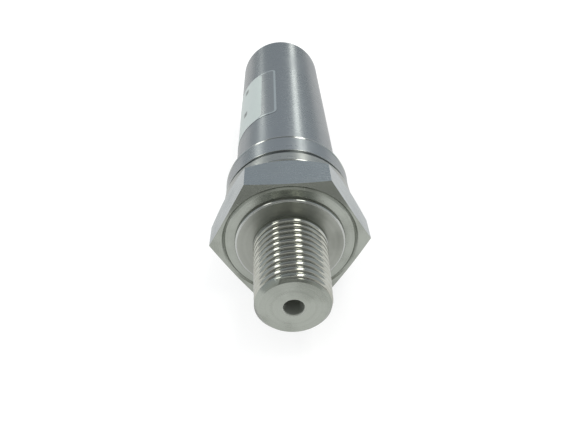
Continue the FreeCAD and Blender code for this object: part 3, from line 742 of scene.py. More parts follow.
def hexagon(name: str, flats: float, front: float, back: float) -> Object:
    """Extrude a hexagon with flats to +Z and -Z.

    Args:
        name: Name of the new piece.
        flats: Width across its flats.
        front: Station of its front face.
        back: Station of its back face.

    Returns:
        The closed piece.
    """
    bpy.ops.object.select_all(action="DESELECT")
    bpy.ops.mesh.primitive_circle_add(vertices=6, radius=flats / math.sqrt(3),
                                      location=(0, front, 0),
                                      rotation=(RIGHT_ANGLE, RIGHT_ANGLE / 3, 0),
                                      fill_type="NGON")
    piece = bpy.context.object
    piece.name = name
    bpy.ops.object.transform_apply(location=True, rotation=True, scale=True)
    edit(piece)
    bpy.ops.mesh.extrude_region_move(TRANSFORM_OT_translate={"value": (0, back - front, 0)})
    close_mesh()
    return piece


def apply_modifier(piece: Object, kind: str, **settings: object) -> None:
    """Add a modifier and apply it.

    Args:
        piece: The piece.
        kind: The modifier's type.
        settings: Its settings by name.
    """
    select_only(piece)
    modifier = piece.modifiers.new(kind, kind)
    for key, value in settings.items():
        setattr(modifier, key, value)
    bpy.ops.object.modifier_apply(modifier=modifier.name)


def combine(piece: Object, other: Object, how: Combine) -> None:
    """Put another closed mesh together with a piece, and discard the other.

    Args:
        piece: The piece that is kept.
        other: The mesh that is joined on, cut away or overlapped.
        how: How the two are put together.
    """
    apply_modifier(piece, "BOOLEAN", operation=how.value, object=other, solver="EXACT",
                   material_mode="TRANSFER")
    bpy.data.objects.remove(other)


def dress(piece: Object, material: Material) -> None:
    """Give a piece one material all over."""
    piece.data.materials.clear()
    piece.data.materials.append(material)


def soften(piece: Object, width: float, segments: int = 2, finish: Material | None = None) -> None:
    """Round every sharp edge.

    Args:
        piece: The closed piece.
        width: Width of the rounding, in metres.
        segments: Number of facets across the rounding.
        finish: Finish of the rounding; without one it takes its neighbour's.
    """
    index = -1
    if finish:
        piece.data.materials.append(finish)
        index = len(piece.data.materials) - 1
    apply_modifier(piece, "BEVEL", width=width, segments=segments, limit_method="ANGLE",
                   angle_limit=SHARP_EDGE, use_clamp_overlap=True,
                   miter_outer="MITER_ARC", material=index)


def shade(piece: Object, angle: float = 35.0) -> None:
    """Shade smooth, with large faces kept flat.

    Args:
        piece: The piece.
        angle: Edges sharper than this many degrees stay sharp.
    """
    edit(piece)
    close_mesh()
    bpy.ops.object.shade_smooth_by_angle(angle=math.radians(angle))
    apply_modifier(piece, "WEIGHTED_NORMAL", keep_sharp=True)


@dataclass(frozen=True)
class Thread:
    """Sixty-degree screw thread about the Y axis, with rounded crests.

    Attributes:
        pitch: Distance between crests, in metres.
        depth: Height from root to crest, in metres.
        crest: Width of the crest's flat, in metres.
        facet: Length of each of the facets that round the crest, in metres.
    """

    pitch: float
    depth: float
    crest: float
    facet: float

    FLANK_SLOPE = 60.0
    CREST_SLOPES = (10.0, 25.0, 40.0)

    def outline(self, radius: float) -> list[tuple[float, float]]:
        """Work out the profile of one pitch, from root to root.

        Args:
            radius: Radius of the crest.

        Returns:
            (station, radius) of each point.
        """
        facets = [(self.facet * math.cos(slope), self.facet * math.sin(slope))
                  for slope in map(math.radians, self.CREST_SLOPES)]
        flank_rise = self.depth - sum(height for _run, height in facets)
        flank = (flank_rise / math.tan(math.radians(self.FLANK_SLOPE)), flank_rise)
        side = [flank, *reversed(facets)]
        root = self.pitch - self.crest - 2 * sum(run for run, _height in side)
        along, reach = root / 2, radius - self.depth
        rise = [(0.0, reach), (along, reach)]
        for run, height in side:
            along, reach = along + run, reach + height
            rise.append((along, reach))
        fall = [(self.pitch - along, reach) for along, reach in reversed(rise)]
        return rise + fall

    def solid(self, name: str, radius: float, front: float, back: float,
              taper: float = 0.0) -> Object:
        """Wind the thread on its core between two stations.

        Args:
            name: Name of the new piece.
            radius: Radius of the crest at station nought if it tapers, else all along.
            front: Station where the thread starts.
            back: Station where it ends.
            taper: Growth of the radius for each metre along the axis.

        Returns:
            The closed piece, cut square at both ends.
        """
        bpy.ops.object.select_all(action="DESELECT")
        points = self.outline(radius)
        start = front - 2 * self.pitch
        bpy.ops.mesh.primitive_plane_add(size=MM)
        piece = bpy.context.object
        piece.name = name
        edit(piece)
        bpy.ops.mesh.merge(type="CENTER")
        bpy.ops.transform.translate(value=(points[0][1], start, 0))
        for (along, reach), (next_along, next_reach) in zip(points, points[1:]):
            bpy.ops.mesh.extrude_vertices_move(
                TRANSFORM_OT_translate={"value": (next_reach - reach, next_along - along, 0)})
        bpy.ops.object.mode_set(mode="OBJECT")
        turns = math.ceil((back - front) / self.pitch) + 4
        apply_modifier(piece, "SCREW", axis="Y", angle=TURN, screw_offset=self.pitch,
                       iterations=turns, steps=THREAD_STEPS, render_steps=THREAD_STEPS,
                       use_merge_vertices=True, merge_threshold=MERGE_DISTANCE)
        if taper:
            stations = [vertex.co.y for vertex in piece.data.vertices]
            length = max(stations) - min(stations)
            apply_modifier(piece, "SIMPLE_DEFORM", deform_method="TAPER", deform_axis="Y",
                           factor=taper / radius * length)
        edit(piece)
        bpy.ops.mesh.remove_doubles(threshold=MERGE_DISTANCE)
        for station, normal in ((front, -1), (back, 1)):
            bpy.ops.mesh.select_all(action="SELECT")
            bpy.ops.mesh.bisect(plane_co=(0, station, 0), plane_no=(0, normal, 0), use_fill=True,
                                clear_outer=True, threshold=CUT_TOLERANCE)
        close_mesh()
        return piece


PIPE_THREAD = Thread(pitch=1.411 * MM, depth=0.4 * MM, crest=0.12 * MM, facet=0.155 * MM)
PLUG_THREAD = Thread(pitch=1.0 * MM, depth=0.5 * MM, crest=0.12 * MM, facet=0.06 * MM)


# ---------------------------------------------------------------- sub-assemblies
# Lengths are in metres and angles in degrees. A station is a place along the Y axis, which runs
# through the part's middle, and station nought is the hexagon's front face.
@dataclass
class ProcessConnection:
    """Tapered stud, boss, hexagon, collar and spigot, machined from one bar."""

    stud_end: float
    spigot_end: float
    flats: float
    case_front: float
    taper: float = 0.03125
    stud_radius: float = 6.63 * MM
    stud_chamfer: float = 0.75 * MM
    neck_length: float = 1.0 * MM
    neck_radius: float = 7.15 * MM
    neck_rounding: float = 0.2 * MM
    boss_height: float = 0.8 * MM
    boss_radius: float = 10.6 * MM
    boss_rounding: float = 0.42 * MM
    hex_length: float = 8.9 * MM
    hex_rounding: float = 0.14 * MM
    hex_reach: float = 0.6
    front_inset: float = 0.45 * MM
    front_angle: float = 10.0
    back_inset: float = 0.7 * MM
    back_angle: float = 45.0
    groove_width: float = 0.7 * MM
    groove_floor: float = 0.04 * MM
    groove_depth: float = 0.3 * MM
    collar_inset: float = 0.2 * MM
    collar_rounding: float = 0.3 * MM
    core_inset: float = 1.0 * MM
    seam_width: float = 1.0 * MM
    seam_depth: float = 1.0 * MM
    spigot_radius: float = 10.25 * MM
    cavity_radius: float = 8.1 * MM
    seat: float = 4.0 * MM
    port_radius: float = 1.8 * MM
    port_flare: float = 0.2 * MM
    chamber_radius: float = 6.25 * MM
    chamber_depth: float = 0.8 * MM

    def make_hexagon(self, lathe: Material) -> Object:
        """Hexagon with its corners turned back at both faces and a groove in the front one.

        Args:
            lathe: Finish of what is turned on it.

        Returns:
            The closed piece.
        """
        piece = hexagon("hexagon", self.flats, -SPARE, self.hex_length + SPARE)
        dress(piece, MILLED.material())
        front = self.flats / 2 - self.front_inset
        back = self.flats / 2 - self.back_inset
        reach = self.flats * self.hex_reach
        front_drop = (reach - front) * math.tan(math.radians(self.front_angle))
        back_drop = (reach - back) * math.tan(math.radians(self.back_angle))
        envelope = turned("hexagon_envelope", (
            (0.0, front), (front_drop, reach), (self.hex_length - back_drop, reach),
            (self.hex_length, back)), 192)
        dress(envelope, lathe)
        combine(piece, envelope, Combine.OVERLAP)
        middle = front - self.groove_width / 2
        half_floor = self.groove_floor / 2
        groove = turned("face_groove", (
            (-self.groove_depth, middle - self.groove_width),
            (-self.groove_depth, middle + self.groove_width),
            (self.groove_depth, middle + half_floor), (self.groove_depth, middle - half_floor)),
            192, closed=True)
        dress(groove, lathe)
        combine(piece, groove, Combine.CUT)
        return piece

    def make_body(self, burnished_highlight: Material) -> Object:
        """Spigot, seam groove, collar and boss, with a core that the hexagon goes round.

        Args:
            burnished_highlight: Finish of the rounded edges, smoother and lighter than the steel
                beside them; the lighter colour is a painted highlight in part.

        Returns:
            The closed piece.
        """
        core = self.flats / 2 - self.core_inset
        collar = self.flats / 2 - self.collar_inset
        collar_back = self.case_front - self.seam_width
        seam = collar - self.seam_depth
        middle = self.hex_length / 2
        piece = turned("process_connection_shell", (
            (middle, core), (self.hex_length, core), (self.hex_length, collar),
            (collar_back, collar), (collar_back, seam), (self.case_front, seam),
            (self.case_front, self.spigot_radius), (self.spigot_end, self.spigot_radius)))
        dress(piece, COLLAR_STEEL.material())
        soften(piece, self.collar_rounding, 4, burnished_highlight)
        boss = turned("boss", ((-self.boss_height, self.boss_radius), (middle, self.boss_radius)))
        dress(boss, BOSS_STEEL.material())
        soften(boss, self.boss_rounding, 5, burnished_highlight)
        combine(piece, boss, Combine.JOIN)
        return piece

    def make_stud(self, lathe: Material, thread: Material, burnished_highlight: Material) -> Object:
        """Tapered threaded stud with a chamfered end and a plain neck.

        Args:
            lathe: Finish of the chamfer, the end and the neck.
            thread: Finish of the thread.
            burnished_highlight: Finish of the rounded edges, smoother and lighter than the steel
                beside them; the lighter colour is a painted highlight in part.

        Returns:
            The closed piece.
        """
        end = self.stud_end
        boss_front = -self.boss_height
        neck = turned("neck", (
            (boss_front - self.neck_length, self.neck_radius), (0.0, self.neck_radius)), 96)
        dress(neck, lathe)
        soften(neck, self.neck_rounding, 4, burnished_highlight)
        stud = PIPE_THREAD.solid("process_stud", self.stud_radius - self.taper * end,
                                 end - PIPE_THREAD.pitch / 2, boss_front - self.neck_length / 2,
                                 self.taper)
        dress(stud, thread)
        tip = turned("tip", (
            (end, self.stud_radius - self.stud_chamfer),
            (end + self.stud_chamfer, self.stud_radius),
            (0.0, self.stud_radius - self.taper * end + SPARE)), 96)
        dress(tip, lathe)
        combine(stud, tip, Combine.OVERLAP)
        combine(stud, neck, Combine.JOIN)
        return stud

    def make_bore(self) -> Object:
        """Port, pressure chamber and cavity, as one cutting shape.

        Returns:
            The closed shape.
        """
        chamber_front = self.seat - self.chamber_depth
        bore = turned("bore", (
            (self.stud_end - SPARE, self.port_radius + self.port_flare + SPARE),
            (self.stud_end + 0.75 * self.port_flare, self.port_radius),
            (chamber_front, self.port_radius), (chamber_front, self.chamber_radius),
            (self.seat, self.chamber_radius), (self.seat, self.cavity_radius),
            (self.spigot_end + SPARE, self.cavity_radius)), 64)
        # The bore's finish is lighter than the steel, which paints light into the bore.
        dress(bore, BORE_STEEL_PAINTED_LIGHT.material())
        return bore

    def build(self) -> Object:
        """Model the whole piece.

        Returns:
            The finished piece.
        """
        lathe = FINISHES[Slot.TURNED].material()
        thread = THREAD_STEEL.material()
        burnished_highlight = BURNISHED_HIGHLIGHT.material()
        piece = self.make_body(burnished_highlight)
        combine(piece, self.make_hexagon(lathe), Combine.JOIN)
        soften(piece, self.hex_rounding, 3, burnished_highlight)
        combine(piece, self.make_stud(lathe, thread, burnished_highlight), Combine.JOIN)
        combine(piece, self.make_bore(), Combine.CUT)
        shade(piece, 40.0)
        return piece


@dataclass
class Case:
    """Sleeve with a beaded collar in front and a lip rolled over the end cap."""

    front: float
    back: float
    collar: float
    collar_length: float = 6.0 * MM
    collar_drop: float = 0.1 * MM
    bead: float = 0.5 * MM
    radius: float = 11.5 * MM
    wall: float = 1.2 * MM
    lip: float = 0.8 * MM
    rounding: float = 0.32 * MM

    def build(self) -> Object:
        """Model the sleeve.

        Returns:
            The finished piece.
        """
        bore = self.radius - self.wall
        collar_end = self.front + self.collar_length
        middle = collar_end - self.bead
        bead = [(middle + self.bead * math.sin(turn),
                 self.collar - self.bead * (1 - math.cos(turn)))
                for turn in map(math.radians, range(-40, 41, 10))]
        base = bead[0][1]
        piece = turned("case_shell", (
            (self.front, bore), (self.front, base), *bead, (collar_end, base - self.collar_drop),
            (collar_end, self.radius), (self.back, self.radius), (self.back, bore - self.lip),
            (self.back - self.lip, bore - self.lip), (self.back - self.lip, bore)),
            192, closed=True)
        dress(piece, FINISHES[Slot.CASE].material())
        soften(piece, self.rounding, 4, BURNISHED_HIGHLIGHT.material())
        # The bead takes the edge finish too; its lighter colour paints a highlight along the bead.
        for face in piece.data.polygons:
            if abs(face.center.y - middle) < self.bead:
                face.material_index = 1
        shade(piece)
        return piece


@dataclass
class EndCap:
    """Disc under the case's rolled lip, with the plug's hole."""

    front: float
    back: float
    radius: float
    hole: float = 6.1 * MM
    neck: float = 9.45 * MM
    neck_length: float = 1.4 * MM
    groove_radius: float = 9.0 * MM
    groove_width: float = 1.9 * MM
    rounding: float = 0.15 * MM

    def build(self) -> Object:
        """Model the disc.

        Returns:
            The finished piece.
        """
        shoulder = self.back - self.neck_length
        middle = (self.front + shoulder) / 2
        half = self.groove_width / 2
        piece = turned("end_cap_shell", (
            (self.front, self.hole), (self.front, self.radius), (middle - half, self.radius),
            (middle - half, self.groove_radius), (middle + half, self.groove_radius),
            (middle + half, self.radius), (shoulder, self.radius), (shoulder, self.neck),
            (self.back, self.neck), (self.back, self.hole)), closed=True)
        dress(piece, FINISHES[Slot.CAPSULE].material())
        soften(piece, self.rounding)
        shade(piece)
        return piece


@dataclass
class Plug:
    """Threaded plug with a hexagon flange, its carrier and its four contacts."""

    front: float
    back: float
    cap_back: float
    carrier_front: float
    carrier_back: float
    contact_end: float
    contact_front: float
    radius: float = 6.0 * MM
    flats: float = 16.0 * MM
    flange_length: float = 3.0 * MM
    flange_inset: float = 0.4 * MM
    flange_angle: float = 30.0
    flange_rounding: float = 0.1 * MM
    flange_reach: float = 0.62
    relief_radius: float = 5.3 * MM
    relief_length: float = 1.2 * MM
    end_chamfer: float = 0.5 * MM
    socket_radius: float = 4.4 * MM
    socket_depth: float = 9.0 * MM
    socket_lead: float = 0.25 * MM
    carrier_shoulder: float = 0.25 * MM
    carrier_gap: float = 0.05 * MM
    carrier_chamfer: float = 0.2 * MM
    carrier_rounding: float = 0.06 * MM
    seal_inner: float = 6.3 * MM
    seal_outer: float = 7.3 * MM
    seal_depth: float = 1.0 * MM
    contact_circle: float = 3.535 * MM
    contact_radius: float = 0.5 * MM
    dish_depth: float = 0.3 * MM
    dish_floor: float = 0.12 * MM
    dish_rim: float = 0.4 * MM
    key_width: float = 1.4 * MM
    key_height: float = 0.3 * MM
    key_inset: float = 0.1 * MM

    def make_flange(self) -> Object:
        """Hexagon flange with its rear corners turned back and a groove for its seal.

        Returns:
            The closed piece.
        """
        flange_back = self.cap_back + self.flange_length
        piece = hexagon("plug_flange", self.flats, self.cap_back, flange_back)
        face = self.flats / 2 - self.flange_inset
        reach = self.flats * self.flange_reach
        drop = (reach - face) * math.tan(math.radians(self.flange_angle))
        envelope = turned("flange_envelope", (
            (self.cap_back - SPARE, reach), (flange_back - drop, reach), (flange_back, face)))
        combine(piece, envelope, Combine.OVERLAP)
        seal_front, seal_back = self.cap_back - SPARE, self.cap_back + self.seal_depth
        groove = turned("flange_groove", (
            (seal_front, self.seal_inner), (seal_front, self.seal_outer),
            (seal_back, self.seal_outer), (seal_back, self.seal_inner)), closed=True)
        combine(piece, groove, Combine.CUT)
        return piece

    def make_thread(self, relief_back: float) -> Object:
        """Threaded end with a chamfer at both ends of the thread.

        Args:
            relief_back: Station where the thread starts.

        Returns:
            The closed piece.
        """
        thread = PLUG_THREAD.solid("plug_thread", self.radius, relief_back, self.back)
        end = turned("plug_end", (
            (relief_back - SPARE, self.relief_radius - SPARE),
            (relief_back + SPARE, self.radius + SPARE),
            (self.back - self.end_chamfer - SPARE, self.radius + SPARE),
            (self.back, self.radius - self.end_chamfer)), 96)
        combine(thread, end, Combine.OVERLAP)
        return thread

    def build(self) -> Object:
        """Model the shell.

        Returns:
            The finished piece.
        """
        flange_back = self.cap_back + self.flange_length
        relief_back = flange_back + self.relief_length
        piece = turned("plug_shell_body", (
            (self.front, self.radius), (flange_back - SPARE, self.radius),
            (flange_back - SPARE, self.relief_radius),
            (relief_back + SPARE, self.relief_radius)), 96)
        combine(piece, self.make_flange(), Combine.JOIN)
        soften(piece, self.flange_rounding)
        combine(piece, self.make_thread(relief_back), Combine.JOIN)
        lead = self.socket_lead
        seat = self.socket_radius - self.carrier_shoulder
        socket = turned("socket", (
            (self.front - SPARE, seat), (self.carrier_front, seat),
            (self.carrier_front, self.socket_radius), (self.back - lead, self.socket_radius),
            (self.back + lead, self.socket_radius + 2 * lead)), 96)
        combine(piece, socket, Combine.CUT)
        dress(piece, FINISHES[Slot.BRASS].material())
        shade(piece, 40.0)
        return piece

    def contact_places(self) -> list[tuple[float, float]]:
        """Centres (x, z) of the four contacts."""
        circle = self.contact_circle
        return [(0.0, circle), (-circle, 0.0), (0.0, -circle), (circle, 0.0)]

    def make_key(self, floor: float, outer: float) -> Object:
        """Key rib along the socket's wall, half way between two contacts.

        Args:
            floor: Station of the socket's floor.
            outer: Radius of the rib's back.

        Returns:
            The closed piece.
        """
        bpy.ops.object.select_all(action="DESELECT")
        length = self.carrier_back - floor
        middle = outer - self.key_height / 2
        bpy.ops.mesh.primitive_cube_add(size=1.0, location=(
            middle * math.sqrt(0.5), floor + (length - SPARE) / 2, middle * math.sqrt(0.5)),
            rotation=(0, -RIGHT_ANGLE / 2, 0),
            scale=(self.key_height, length + SPARE, self.key_width))
        key = bpy.context.object
        bpy.ops.object.transform_apply(location=True, rotation=True, scale=True)
        return key

    def build_carrier(self) -> Object:
        """Model the carrier with its key rib and a small dish round each contact.

        Returns:
            The finished piece.
        """
        floor = self.back - self.socket_depth
        radius = self.socket_radius - self.carrier_gap
        chamfer = self.carrier_chamfer
        piece = turned("plug_carrier", (
            (self.carrier_front, radius), (floor - chamfer, radius), (floor, radius - chamfer)), 96)
        combine(piece, self.make_key(floor, radius - self.key_inset), Combine.JOIN)
        for x, z in self.contact_places():
            dish = turned("dish", (
                (floor - self.dish_depth, self.contact_radius + self.dish_floor),
                (floor + 0.1 * MM, self.contact_radius + self.dish_rim)), 32)
            edit(dish)
            bpy.ops.transform.translate(value=(x, 0, z))
            bpy.ops.object.mode_set(mode="OBJECT")
            combine(piece, dish, Combine.CUT)
        soften(piece, self.carrier_rounding)
        dress(piece, FINISHES[Slot.CARRIER].material())
        shade(piece)
        return piece

    def build_contact(self, number: int, x: float, z: float) -> Object:
        """Model one turned contact with a rounded point.

        Args:
            number: The contact's number.
            x: Place of its centre along X.
            z: Place of its centre along Z.

        Returns:
            The finished piece.
        """
        radius = self.contact_radius
        tip = self.contact_end
        contact = turned(f"contact_{number}", (
            (self.contact_front, radius), (tip - 0.9 * radius, radius),
            (tip - 0.45 * radius, 0.86 * radius), (tip - 0.12 * radius, 0.5 * radius),
            (tip, 0.15 * radius)), 32)
        edit(contact)
        bpy.ops.transform.translate(value=(x, 0, z))
        bpy.ops.object.mode_set(mode="OBJECT")
        dress(contact, FINISHES[Slot.GOLD].material())
        shade(contact, 50.0)
        return contact


@dataclass
class Sticker:
    """Film wrapped round one side of the case."""

    front: float
    back: float
    radius: float = 11.5 * MM
    thickness: float = 0.05 * MM
    angle: float = 166.0
    corner: float = 1.5 * MM
    field_angle: float = 126.0
    field_inset: float = 0.1 * MM
    columns: int = 96

    def make_sheet(self) -> Object:
        """Spin a line into a bent sheet with rounded corners.

        Returns:
            The sheet, with no thickness yet.
        """
        bpy.ops.object.select_all(action="DESELECT")
        bpy.ops.mesh.primitive_plane_add(size=MM)
        piece = bpy.context.object
        piece.name = "label_film"
        half_turn = math.radians(self.angle / 2)
        length = self.back - self.front
        edit(piece)
        bpy.ops.mesh.merge(type="CENTER")
        bpy.ops.transform.translate(value=(
            -self.radius * math.cos(half_turn), self.front, self.radius * math.sin(half_turn)))
        bpy.ops.mesh.extrude_vertices_move(TRANSFORM_OT_translate={"value": (0, length, 0)})
        bpy.ops.mesh.select_all(action="SELECT")
        bpy.ops.mesh.spin(steps=self.columns, angle=2 * half_turn, center=(0, 0, 0),
                          axis=(0, 1, 0))
        bpy.ops.mesh.select_all(action="SELECT")
        bpy.ops.mesh.remove_doubles(threshold=MERGE_DISTANCE)
        bpy.ops.object.mode_set(mode="OBJECT")
        self.round_corners(piece, half_turn)
        edit(piece)
        bpy.ops.mesh.normals_make_consistent(inside=False)
        bpy.ops.object.mode_set(mode="OBJECT")
        return piece

    def round_corners(self, piece: Object, half_turn: float) -> None:
        """Shorten the outer columns of the sheet along an arc.

        Args:
            piece: The sheet.
            half_turn: Half the angle that it covers, in radians.
        """
        middle = (self.front + self.back) / 2
        half = (self.back - self.front) / 2
        for vertex in piece.data.vertices:
            x, y, z = vertex.co
            inset = (half_turn - abs(math.atan2(z, -x))) * self.radius
            if inset < self.corner:
                reach = math.sqrt(max(0.0, self.corner ** 2 - (self.corner - inset) ** 2))
                side = 1 if y > middle else -1
                vertex.co.y = middle + side * (half - self.corner + reach)

    def build(self) -> Object:
        """Model the film.

        Returns:
            The finished piece.
        """
        piece = self.make_sheet()
        apply_modifier(piece, "SOLIDIFY", thickness=self.thickness, offset=1.0)
        half_length = (self.back - self.front) / 2
        finish = StickerFilm("label_film", radius=self.radius + self.thickness,
                             middle=(self.back + self.front) / 2, half_length=half_length,
                             half_turn=self.angle / 2, field_turn=self.field_angle / 2,
                             field_length=half_length - self.field_inset)
        dress(piece, finish.material())
        shade(piece)
        return piece


# ---------------------------------------------------------------- studio
@dataclass(frozen=True)
class Card:
    """Grey card that metal reflects and the camera looks past.

    Attributes:
        name: Name of the card.
        place: Its middle, as X, Y and the height above the floor.
        size: Its width, and its depth or height.
        turn: Nought if it lies flat, a right angle if it stands.
    """

    name: str
    place: Point
    size: tuple[float, float]
    turn: float

    def set_up(self, floor_height: float) -> None:
        """Put the card in its place.

        Args:
            floor_height: Height of the floor.
        """
        x, y, height = self.place
        bpy.ops.mesh.primitive_plane_add(size=1.0, location=(x, y, height + floor_height),
                                         rotation=(self.turn, 0, 0))
        card = bpy.context.object
        card.name = self.name
        card.scale = (*self.size, 1.0)
        bpy.ops.object.transform_apply(location=True, rotation=True, scale=True)
        material, graph = new_graph("card_grey")
        grain = graph.noise(graph.object_place(), 60.0, 2.0)
        graph.surface(Base_Color=graph.mix(grain, (0.2, 0.2, 0.19), (0.21, 0.21, 0.2)),
                      Roughness=0.9)
        dress(card, material)
        for kind in ("camera", "diffuse", "shadow"):
            setattr(card, f"visible_{kind}", False)
        card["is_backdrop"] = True


@dataclass(frozen=True)
class Strip:
    """Soft strip lamp that hangs along a line of points and faces the part.

    Attributes:
        name: Name of the lamp; each length of it is numbered.
        points: Corners of its middle line.
        width: Its width.
        radiance: Brightness of its face.
        colour: Its colour.
    """

    name: str
    points: tuple[Point, ...]
    width: float
    radiance: float
    colour: Colour = (1.0, 1.0, 0.92)

    def hang(self) -> None:
        """Hang one area lamp between each two points."""
        for number, ends in enumerate(zip(self.points, self.points[1:]), start=1):
            start, end = (Vector(point) for point in ends)
            run, middle = end - start, (start + end) / 2
            along = run.normalized()
            away = (middle - along * middle.dot(along)).normalized()
            turn = Matrix((along.cross(away), along, away)).transposed().to_euler()
            bpy.ops.object.light_add(type="AREA", location=middle, rotation=turn)
            lamp = bpy.context.object
            lamp.name = f"{self.name}_{number}"
            lamp.data.shape = "RECTANGLE"
            lamp.data.size, lamp.data.size_y = self.width, run.length
            lamp.data.energy = self.radiance * math.pi * self.width * run.length
            lamp.data.color = self.colour
            lamp.visible_camera = False


@dataclass
class Studio:
    """Floor, surroundings, cards, lamps and camera."""

    floor_height: float
    camera_place: Point = (-0.81 * MM, -75.96 * MM, 62.65 * MM)
    camera_turn: Point = (53.4619, 1.9238, -1.9488)
    lens: float = 32.05
    sensor: float = 36.0
    floor_size: float = 6.0
    floor_shadow: float = 0.36
    floor_glow: float = 0.68

    WALLS = ((0.0, (0.5, 0.54, 0.57)), (0.1, (0.54, 0.59, 0.62)), (0.35, (0.57, 0.62, 0.66)),
             (0.6, (0.48, 0.52, 0.57)), (1.0, (0.18, 0.19, 0.2)))
    FRONT_WALL = (0.7, 0.71, 0.68)
    SKY_LIGHT = (0.9, 0.92, 0.94)
    CARDS = (Card("low_card", (0.0, -0.1, 0.5 * MM), (0.1, 0.12), 0.0),
             Card("high_card", (0.0, -0.3, 0.21), (0.6, 0.3), RIGHT_ANGLE))
    STRIPS = (
        Strip("near_right", ((0.38, -0.3, 1.0), (0.38, 0.2, 1.0), (0.49, 1.1, 1.0)), 0.26, 4.0),
        Strip("far_right", ((0.58, 1.6, 1.0), (0.81, 3.6, 1.0), (0.79, 3.6, 0.5)), 0.22, 2.8),
        Strip("near_left", ((-0.68, -0.3, 1.0), (-0.7, 0.3, 1.0), (-0.9, 1.1, 1.0)), 0.26, 3.2),
        Strip("far_left", ((-1.25, 2.0, 1.0), (-1.5, 4.6, 1.0)), 0.3, 1.8))

    def add_camera(self) -> None:
        """Set the camera up."""
        bpy.ops.object.camera_add(location=self.camera_place,
                                  rotation=[math.radians(angle) for angle in self.camera_turn])
        camera = bpy.context.object
        camera.data.lens = self.lens
        camera.data.sensor_width = self.sensor
        camera.data.clip_start = MM
        bpy.context.scene.camera = camera

    def seen_directly(self, graph: Graph) -> Value:
        """Tell the rays that show the surroundings from those that light the part.

        Args:
            graph: The graph that new nodes go into.

        Returns:
            One for camera, glossy and transmission rays, else nought.
        """
        outputs = graph.node("ShaderNodeLightPath").outputs
        rays = [Value(graph, outputs[name])
                for name in ("Is Camera Ray", "Is Glossy Ray", "Is Transmission Ray")]
        return rays[0].at_least(rays[1]).at_least(rays[2])

    def add_floor(self) -> None:
        """Lay a plain pale floor that keeps the part's shadow."""
        bpy.ops.mesh.primitive_plane_add(size=self.floor_size, location=(0, 0, self.floor_height))
        floor = bpy.context.object
        floor.name = "floor"
        bpy.ops.object.transform_apply(location=True, rotation=True, scale=True)
        material, graph = new_graph("floor_white")
        grain = graph.noise(graph.object_place(), 40.0, 2.0)
        paint = graph.node("ShaderNodeBsdfDiffuse", None,
                           Color=graph.mix(grain, (0.8, 0.8, 0.8), (0.78, 0.78, 0.78)))
        shadow = graph.node("ShaderNodeBsdfDiffuse", None, Color=(self.floor_shadow,) * 3)
        glow = graph.node("ShaderNodeEmission", None, Color=(1.0, 1.0, 1.0),
                          Strength=self.floor_glow)
        both = graph.node("ShaderNodeAddShader", None, in0=shadow.outputs[0], in1=glow.outputs[0])
        shader = graph.node("ShaderNodeMixShader", None, in0=self.seen_directly(graph),
                            in1=paint.outputs[0], in2=both.outputs[0])
        graph.node("ShaderNodeOutputMaterial", None, Surface=shader.outputs[0])
        dress(floor, material)
        floor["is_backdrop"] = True

    def add_surroundings(self) -> None:
        """Light the part from pale surroundings that look like grey walls with a dim ceiling."""
        world = bpy.data.worlds.new("studio")
        bpy.context.scene.world = world
        world.use_nodes = True
        graph = Graph(world.node_tree)
        direction = graph.node("ShaderNodeTexCoord").outputs["Generated"]
        _x, depth, height = graph.split(direction)
        walls = graph.node("ShaderNodeValToRGB", {"stops": self.WALLS}, Fac=height).outputs[0]
        behind_camera = (-1.0 * depth).step(0.1, 0.6)
        walls = graph.mix(behind_camera, walls, self.FRONT_WALL)
        lit = graph.node("ShaderNodeBackground", None, Color=self.SKY_LIGHT, Strength=1.0)
        seen = graph.node("ShaderNodeBackground", None, Color=walls, Strength=1.0)
        shader = graph.node("ShaderNodeMixShader", None, in0=self.seen_directly(graph),
                            in1=lit.outputs[0], in2=seen.outputs[0])
        graph.node("ShaderNodeOutputWorld", None, Surface=shader.outputs[0])

    def build(self) -> None:
        """Set up all but the camera."""
        bpy.context.scene.view_settings.view_transform = "Standard"
        self.add_floor()
        self.add_surroundings()
        for card in self.CARDS:
            card.set_up(self.floor_height)
        for strip in self.STRIPS:
            strip.hang()


# ---------------------------------------------------------------- assembly
def finish_piece(piece: Object, slot: Slot, *nodes: str) -> None:
    """Seat a finished piece on the part and report it.

    Args:
        piece: The finished piece.
        slot: Its material slot; not used.
        nodes: The CAD nodes that it stands for.
    """
    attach(piece, "root")
    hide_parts(*nodes)
    log.info("%s: %d faces", piece.name, len(piece.data.polygons))


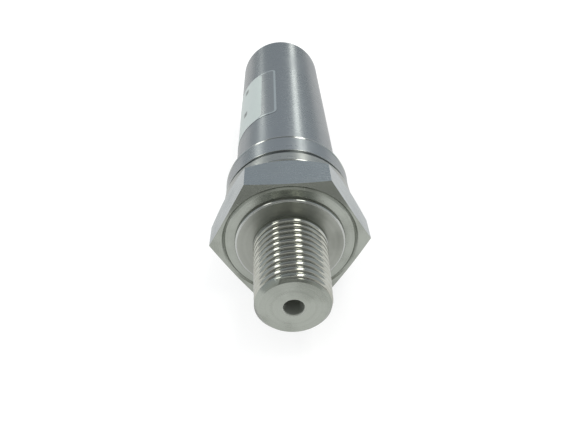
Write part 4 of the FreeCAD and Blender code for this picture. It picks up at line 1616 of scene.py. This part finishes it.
def dress_inner_nodes(frame: dict, replaced: set[str]) -> None:
    """Give every CAD node that stays in view its own finish.

    Args:
        frame: The loaded frame.
        replaced: Names of the nodes that a modelled piece stands for.
    """
    slots = {item["node"]: item["material_slot"] for item in frame["record"]["subparts"]}
    ready: dict[str, Material] = {}
    for name, node in frame["nodes"].items():
        if name in replaced:
            continue
        slot = slots[name]
        if slot not in ready:
            ready[slot] = FINISHES[Slot(slot)].material()
        node.data.materials.clear()
        node.data.materials.append(ready[slot])


def main(frame: dict) -> None:
    """Build the looks of the pressure transmitter in order.

    Args:
        frame: The loaded frame.
    """
    logging.basicConfig(level=logging.INFO, format="%(message)s")
    cad_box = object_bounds()
    studio = Studio(cad_box[0][2])
    studio.add_camera()

    connection_low, connection_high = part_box("process_connection")
    case_low, case_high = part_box("case")
    connection = ProcessConnection(stud_end=connection_low.y, spigot_end=connection_high.y,
                                   flats=connection_high.z * 2, case_front=case_low.y)
    finish_piece(connection.build(), Slot.TURNED, "process_connection")
    case = Case(front=case_low.y, back=case_high.y, collar=case_high.z)
    finish_piece(case.build(), Slot.CASE, "case")
    cap_low, cap_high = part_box("end_cap")
    cap = EndCap(front=cap_low.y, back=cap_high.y, radius=cap_high.z)
    finish_piece(cap.build(), Slot.CAPSULE, "end_cap")

    shell_low, shell_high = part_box("plug_shell")
    carrier_low, carrier_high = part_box("contact_carrier")
    pins_low, pins_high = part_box("contact_pins")
    plug = Plug(front=shell_low.y, back=shell_high.y, cap_back=cap_high.y,
                carrier_front=carrier_low.y, carrier_back=carrier_high.y,
                contact_end=pins_high.y, contact_front=pins_low.y)
    finish_piece(plug.build(), Slot.BRASS, "plug_shell")
    finish_piece(plug.build_carrier(), Slot.CARRIER, "contact_carrier")
    for number, (x, z) in enumerate(plug.contact_places(), start=1):
        finish_piece(plug.build_contact(number, x, z), Slot.GOLD, "contact_pins")

    label_low, label_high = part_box("label")
    sticker = Sticker(front=label_low.y, back=label_high.y)
    finish_piece(sticker.build(), Slot.LABEL, "label")

    replaced = {"process_connection", "case", "end_cap", "plug_shell", "contact_carrier",
                "contact_pins", "label"}
    dress_inner_nodes(frame, replaced)
    studio.build()


if __name__ == "__main__":
    main(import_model())
